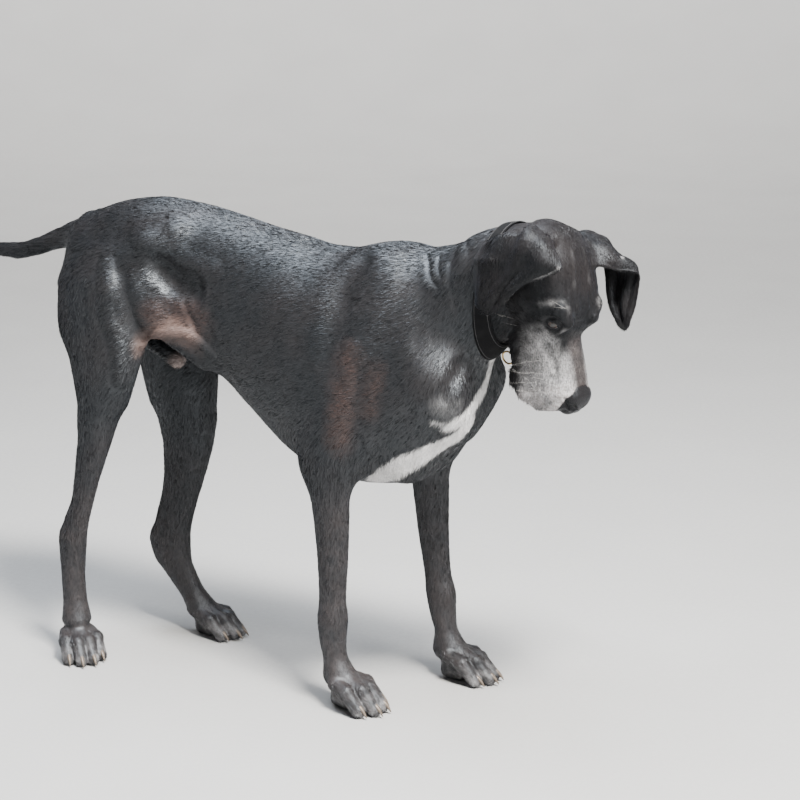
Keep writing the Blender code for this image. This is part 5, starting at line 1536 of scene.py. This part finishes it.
def metal_material(name, dark, light, roughness):
    nodes = Nodes(name)
    scratches = nodes.grain(300.0, (1, 1, 4), detail=4.0)
    tarnish = nodes.grain(90.0, detail=3.0)
    colour = nodes.mix(tarnish, dark, light)
    gloss = nodes.curve(scratches, ((0.3, roughness - 0.08), (0.7, roughness + 0.12)))
    return nodes.finish(Base_Color=colour, Metallic=1.0, Roughness=gloss, Normal=nodes.bump(scratches, 0.12, 0.0002))


def make_collar():
    """The webbing strap with turned edges and two lines of stitching, and its ring."""
    shifts = np.linspace(-0.5, 0.5, 9)
    count = 160
    loops = strap_paths(count, shifts)
    rounding = 0.00025 + 0.0013 * (1 - np.abs(2 * shifts) ** 6)
    mid = [start + (reach + 0.00175)[:, None] * rays for start, rays, reach in loops]
    rays = loops[0][1]
    outer = [line + rounding[k] * rays for k, line in enumerate(mid)]
    inner = [line - rounding[k] * rays for k, line in enumerate(mid)]
    rings = inner + outer[::-1]
    faces = []
    for k in range(len(rings)):
        following = (k + 1) % len(rings)
        for i in range(count):
            j = (i + 1) % count
            faces.append((following * count + i, following * count + j, k * count + j, k * count + i))
    strap = new_piece("collar_strap", np.concatenate(rings), faces, webbing_material())
    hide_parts("collar")
    thread = Nodes("thread")
    fuzz = thread.grain(900.0, detail=2.0)
    thread_material = thread.finish(Base_Color=thread.mix(fuzz, (0.03, 0.03, 0.032), (0.11, 0.11, 0.115)), Roughness=0.7, Normal=thread.bump(fuzz, 0.4, 0.0003))
    points, faces = [], []
    for row in (1, 7):
        line = outer[row]
        for i in range(0, count, 1):
            a, b = line[i], line[(i + 1) % count]
            for s in (0.08, 0.58):
                path = [a + (b - a) * (s + t * 0.36) + rays[i] * 0.00035 * math.sin(math.pi * t) for t in (0, 0.33, 0.66, 1)]
                more, sides = tube(path, [0.0003] * 4, 5)
                faces += [[corner + len(points) for corner in face] for face in sides]
                points += more
    new_piece("collar_stitching", points, faces, thread_material)
    make_ring(outer)


def make_ring(outer):
    """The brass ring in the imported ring's place, round in section."""
    node = frame["nodes"]["collar_ring"]
    packed = np.array([v.co for v in node.data.vertices]) - SHIFT
    middle = packed.mean(axis=0)
    _, _, axes = np.linalg.svd(packed - middle, full_matrices=False)
    across = unit(axes[2])
    first = unit(axes[0])
    second = np.cross(across, first)
    turns = np.linspace(0, 2 * math.pi, 73)[:-1]
    rings = []
    for angle in np.linspace(0, 2 * math.pi, 17)[:-1]:
        reach = RING_RADIUS + RING_WIRE * math.cos(angle)
        rings.append(middle + reach * (np.outer(np.cos(turns), first) + np.outer(np.sin(turns), second)) + RING_WIRE * math.sin(angle) * across)
    faces = []
    for k in range(16):
        for i in range(72):
            j, m = (i + 1) % 72, (k + 1) % 16
            faces.append((k * 72 + i, k * 72 + j, m * 72 + j, m * 72 + i))
    piece = new_piece("collar_loop", np.concatenate(rings), faces, metal_material("brass", (0.30, 0.19, 0.07), (0.62, 0.43, 0.19), 0.28))
    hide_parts("collar_ring")


def make_stage(looks):
    """A pale round floor that curves up far from the animal on every side, soft lights and the camera."""
    nodes = Nodes("studio_floor")
    dust = nodes.grain(3.0, detail=6.0)
    fine = nodes.grain(90.0, detail=4.0)
    colour = nodes.mix(dust, (0.28, 0.2785, 0.2755), (0.32, 0.3185, 0.3155))
    floor_material = nodes.finish(Base_Color=colour, Roughness=nodes.curve(fine, ((0.3, 0.5), (0.7, 0.7))), Normal=nodes.bump(fine, 0.06, 0.0005))
    profile = [(2.0, 0.0), (6.4, 0.0)] + [
        (6.4 + 2.6 * math.sin(a), 2.6 - 2.6 * math.cos(a)) for a in np.linspace(0.1, math.pi / 2, 14)
    ] + [(9.0, 4.2)]
    spokes = 96
    turns = [2 * math.pi * k / spokes for k in range(spokes)]
    points = [(0.0, 0.0, -0.0004)]
    points += [(reach * math.cos(t), reach * math.sin(t), height - 0.0004) for reach, height in profile for t in turns]
    faces = [(0, 1 + k, 1 + (k + 1) % spokes) for k in range(spokes)]
    for row in range(len(profile) - 1):
        low = 1 + row * spokes
        for k in range(spokes):
            m = (k + 1) % spokes
            faces.append((low + k, low + spokes + k, low + spokes + m, low + m))
    mesh = bpy.data.meshes.new("studio_floor")
    mesh.from_pydata([tuple(p) for p in points], [], faces)
    mesh.shade_smooth()
    mesh.materials.append(floor_material)
    floor = bpy.data.objects.new("studio_floor", mesh)
    bpy.context.scene.collection.objects.link(floor)
    world = bpy.data.worlds.new("studio")
    world.use_nodes = True
    world.node_tree.nodes["Background"].inputs["Color"].default_value = (0.86, 0.92, 1.0, 1)
    world.node_tree.nodes["Background"].inputs["Strength"].default_value = looks.fill
    bpy.context.scene.world = world
    lamps = [(*light, (0.0, 0.0, 0.55)) for light in LIGHTS]
    for name, turn, power in WALL_LIGHTS:
        out = np.array((-math.sin(CAMERA_TURN + turn), math.cos(CAMERA_TURN + turn), 0.0))
        lamps.append((name, tuple(6.0 * out + (0, 0, 4.4)), (6.0, 1.0), power, (1.0, 0.99, 0.98), tuple(9.0 * out + (0, 0, 0.8))))
    for name, place, size, power, colour, target in lamps:
        data = bpy.data.lights.new(name, "AREA")
        data.shape = "RECTANGLE"
        data.size, data.size_y = size
        data.energy = power * looks.key
        data.color = colour
        lamp = bpy.data.objects.new(name, data)
        lamp.location = place
        aim = Vector(target) - Vector(place)
        lamp.rotation_euler = aim.to_track_quat("-Z", "Y").to_euler()
        bpy.context.scene.collection.objects.link(lamp)
    data = bpy.data.cameras.new("camera")
    data.lens, data.sensor_width = 103.5, 36.0
    camera = bpy.data.objects.new("camera", data)
    target = np.array((0.0, 0.0, 0.564)) + SHIFT
    flat = CAMERA_REACH * math.cos(CAMERA_RISE)
    camera.location = target + (flat * math.sin(CAMERA_TURN), -flat * math.cos(CAMERA_TURN), CAMERA_REACH * math.sin(CAMERA_RISE))
    camera.rotation_euler = (Vector(target) - camera.location).to_track_quat("-Z", "Y").to_euler()
    bpy.context.scene.collection.objects.link(camera)
    bpy.context.scene.camera = camera


# The add-on


class GreatDaneLooks(bpy.types.PropertyGroup):
    """Sizes and colours of the animal's coat and of the studio."""

    coat_depth: bpy.props.FloatProperty(
        name="Coat depth", description="How far the skin lies inside the packed solids", default=0.0011, min=0.0, max=0.004,
        precision=4, unit="LENGTH",
    )
    body_cell: bpy.props.FloatProperty(
        name="Body cell", description="Size of the body's faces", default=0.0046, min=0.003, max=0.01, precision=4, unit="LENGTH",
    )
    head_cell: bpy.props.FloatProperty(
        name="Head cell", description="Size of the head's faces", default=0.0018, min=0.0012, max=0.005, precision=4, unit="LENGTH",
    )
    tufts: bpy.props.IntProperty(name="Tufts", description="How many tufts the coat has", default=400000, min=1000, max=480000)
    black: bpy.props.FloatVectorProperty(
        name="Coat colour", description="The main colour of the coat", default=(0.0040, 0.0040, 0.0044), min=0.0, max=1.0, size=3, subtype="COLOR",
    )
    key: bpy.props.FloatProperty(name="Lamps", description="Strength of the studio's lamps", default=1.0, min=0.0, max=5.0)
    fill: bpy.props.FloatProperty(name="Fill", description="Strength of the light from all round", default=0.03, min=0.0, max=3.0)


class GREATDANE_OT_skin(bpy.types.Operator):
    """Build one smooth skin over the whole body, head and ears"""

    bl_idname = "greatdane.skin"
    bl_label = "Skin"

    def execute(self, context):
        make_skin(context.scene.great_dane)
        return {"FINISHED"}


class GREATDANE_OT_coat(bpy.types.Operator):
    """Lay the short coat over the skin in fine tufts"""

    bl_idname = "greatdane.coat"
    bl_label = "Coat"

    def execute(self, context):
        make_coat(context.scene.great_dane)
        return {"FINISHED"}


class GREATDANE_OT_whiskers(bpy.types.Operator):
    """Set the whiskers on the muzzle, cheeks and brows"""

    bl_idname = "greatdane.whiskers"
    bl_label = "Whiskers"

    def execute(self, context):
        make_whiskers()
        return {"FINISHED"}


class GREATDANE_OT_eyes(bpy.types.Operator):
    """Set both eyes and the wet haws along their lower lids"""

    bl_idname = "greatdane.eyes"
    bl_label = "Eyes"

    def execute(self, context):
        for side in (-1, 1):
            make_eye(side)
        return {"FINISHED"}


class GREATDANE_OT_claws(bpy.types.Operator):
    """Set the sixteen claws in the toes"""

    bl_idname = "greatdane.claws"
    bl_label = "Claws"

    def execute(self, context):
        make_claws()
        return {"FINISHED"}


class GREATDANE_OT_collar(bpy.types.Operator):
    """Put on the webbing collar with its stitching and ring"""

    bl_idname = "greatdane.collar"
    bl_label = "Collar"

    def execute(self, context):
        make_collar()
        return {"FINISHED"}


class GREATDANE_OT_stage(bpy.types.Operator):
    """Set the pale floor, the soft lights and the camera"""

    bl_idname = "greatdane.stage"
    bl_label = "Stage"

    def execute(self, context):
        make_stage(context.scene.great_dane)
        return {"FINISHED"}


class GREATDANE_PT_panel(bpy.types.Panel):
    """Lists the pieces in the 3D view's sidebar"""

    bl_label = "Great dane"
    bl_idname = "GREATDANE_PT_panel"
    bl_space_type = "VIEW_3D"
    bl_region_type = "UI"
    bl_category = "Great dane"

    def draw(self, context):
        for name in ("coat_depth", "body_cell", "head_cell", "tufts", "black", "key", "fill"):
            self.layout.prop(context.scene.great_dane, name)
        for piece in PIECES:
            self.layout.operator(piece.bl_idname)


PIECES = (
    GREATDANE_OT_stage,
    GREATDANE_OT_skin,
    GREATDANE_OT_coat,
    GREATDANE_OT_whiskers,
    GREATDANE_OT_eyes,
    GREATDANE_OT_claws,
    GREATDANE_OT_collar,
)
CLASSES = (GreatDaneLooks, *PIECES, GREATDANE_PT_panel)


def register():
    for kind in CLASSES:
        bpy.utils.register_class(kind)
    bpy.types.Scene.great_dane = bpy.props.PointerProperty(type=GreatDaneLooks)


def unregister():
    del bpy.types.Scene.great_dane
    for kind in reversed(CLASSES):
        bpy.utils.unregister_class(kind)


def main():
    register()
    for piece in PIECES:
        family, name = piece.bl_idname.split(".")
        getattr(getattr(bpy.ops, family), name)()


if __name__ == "__main__":
    main()
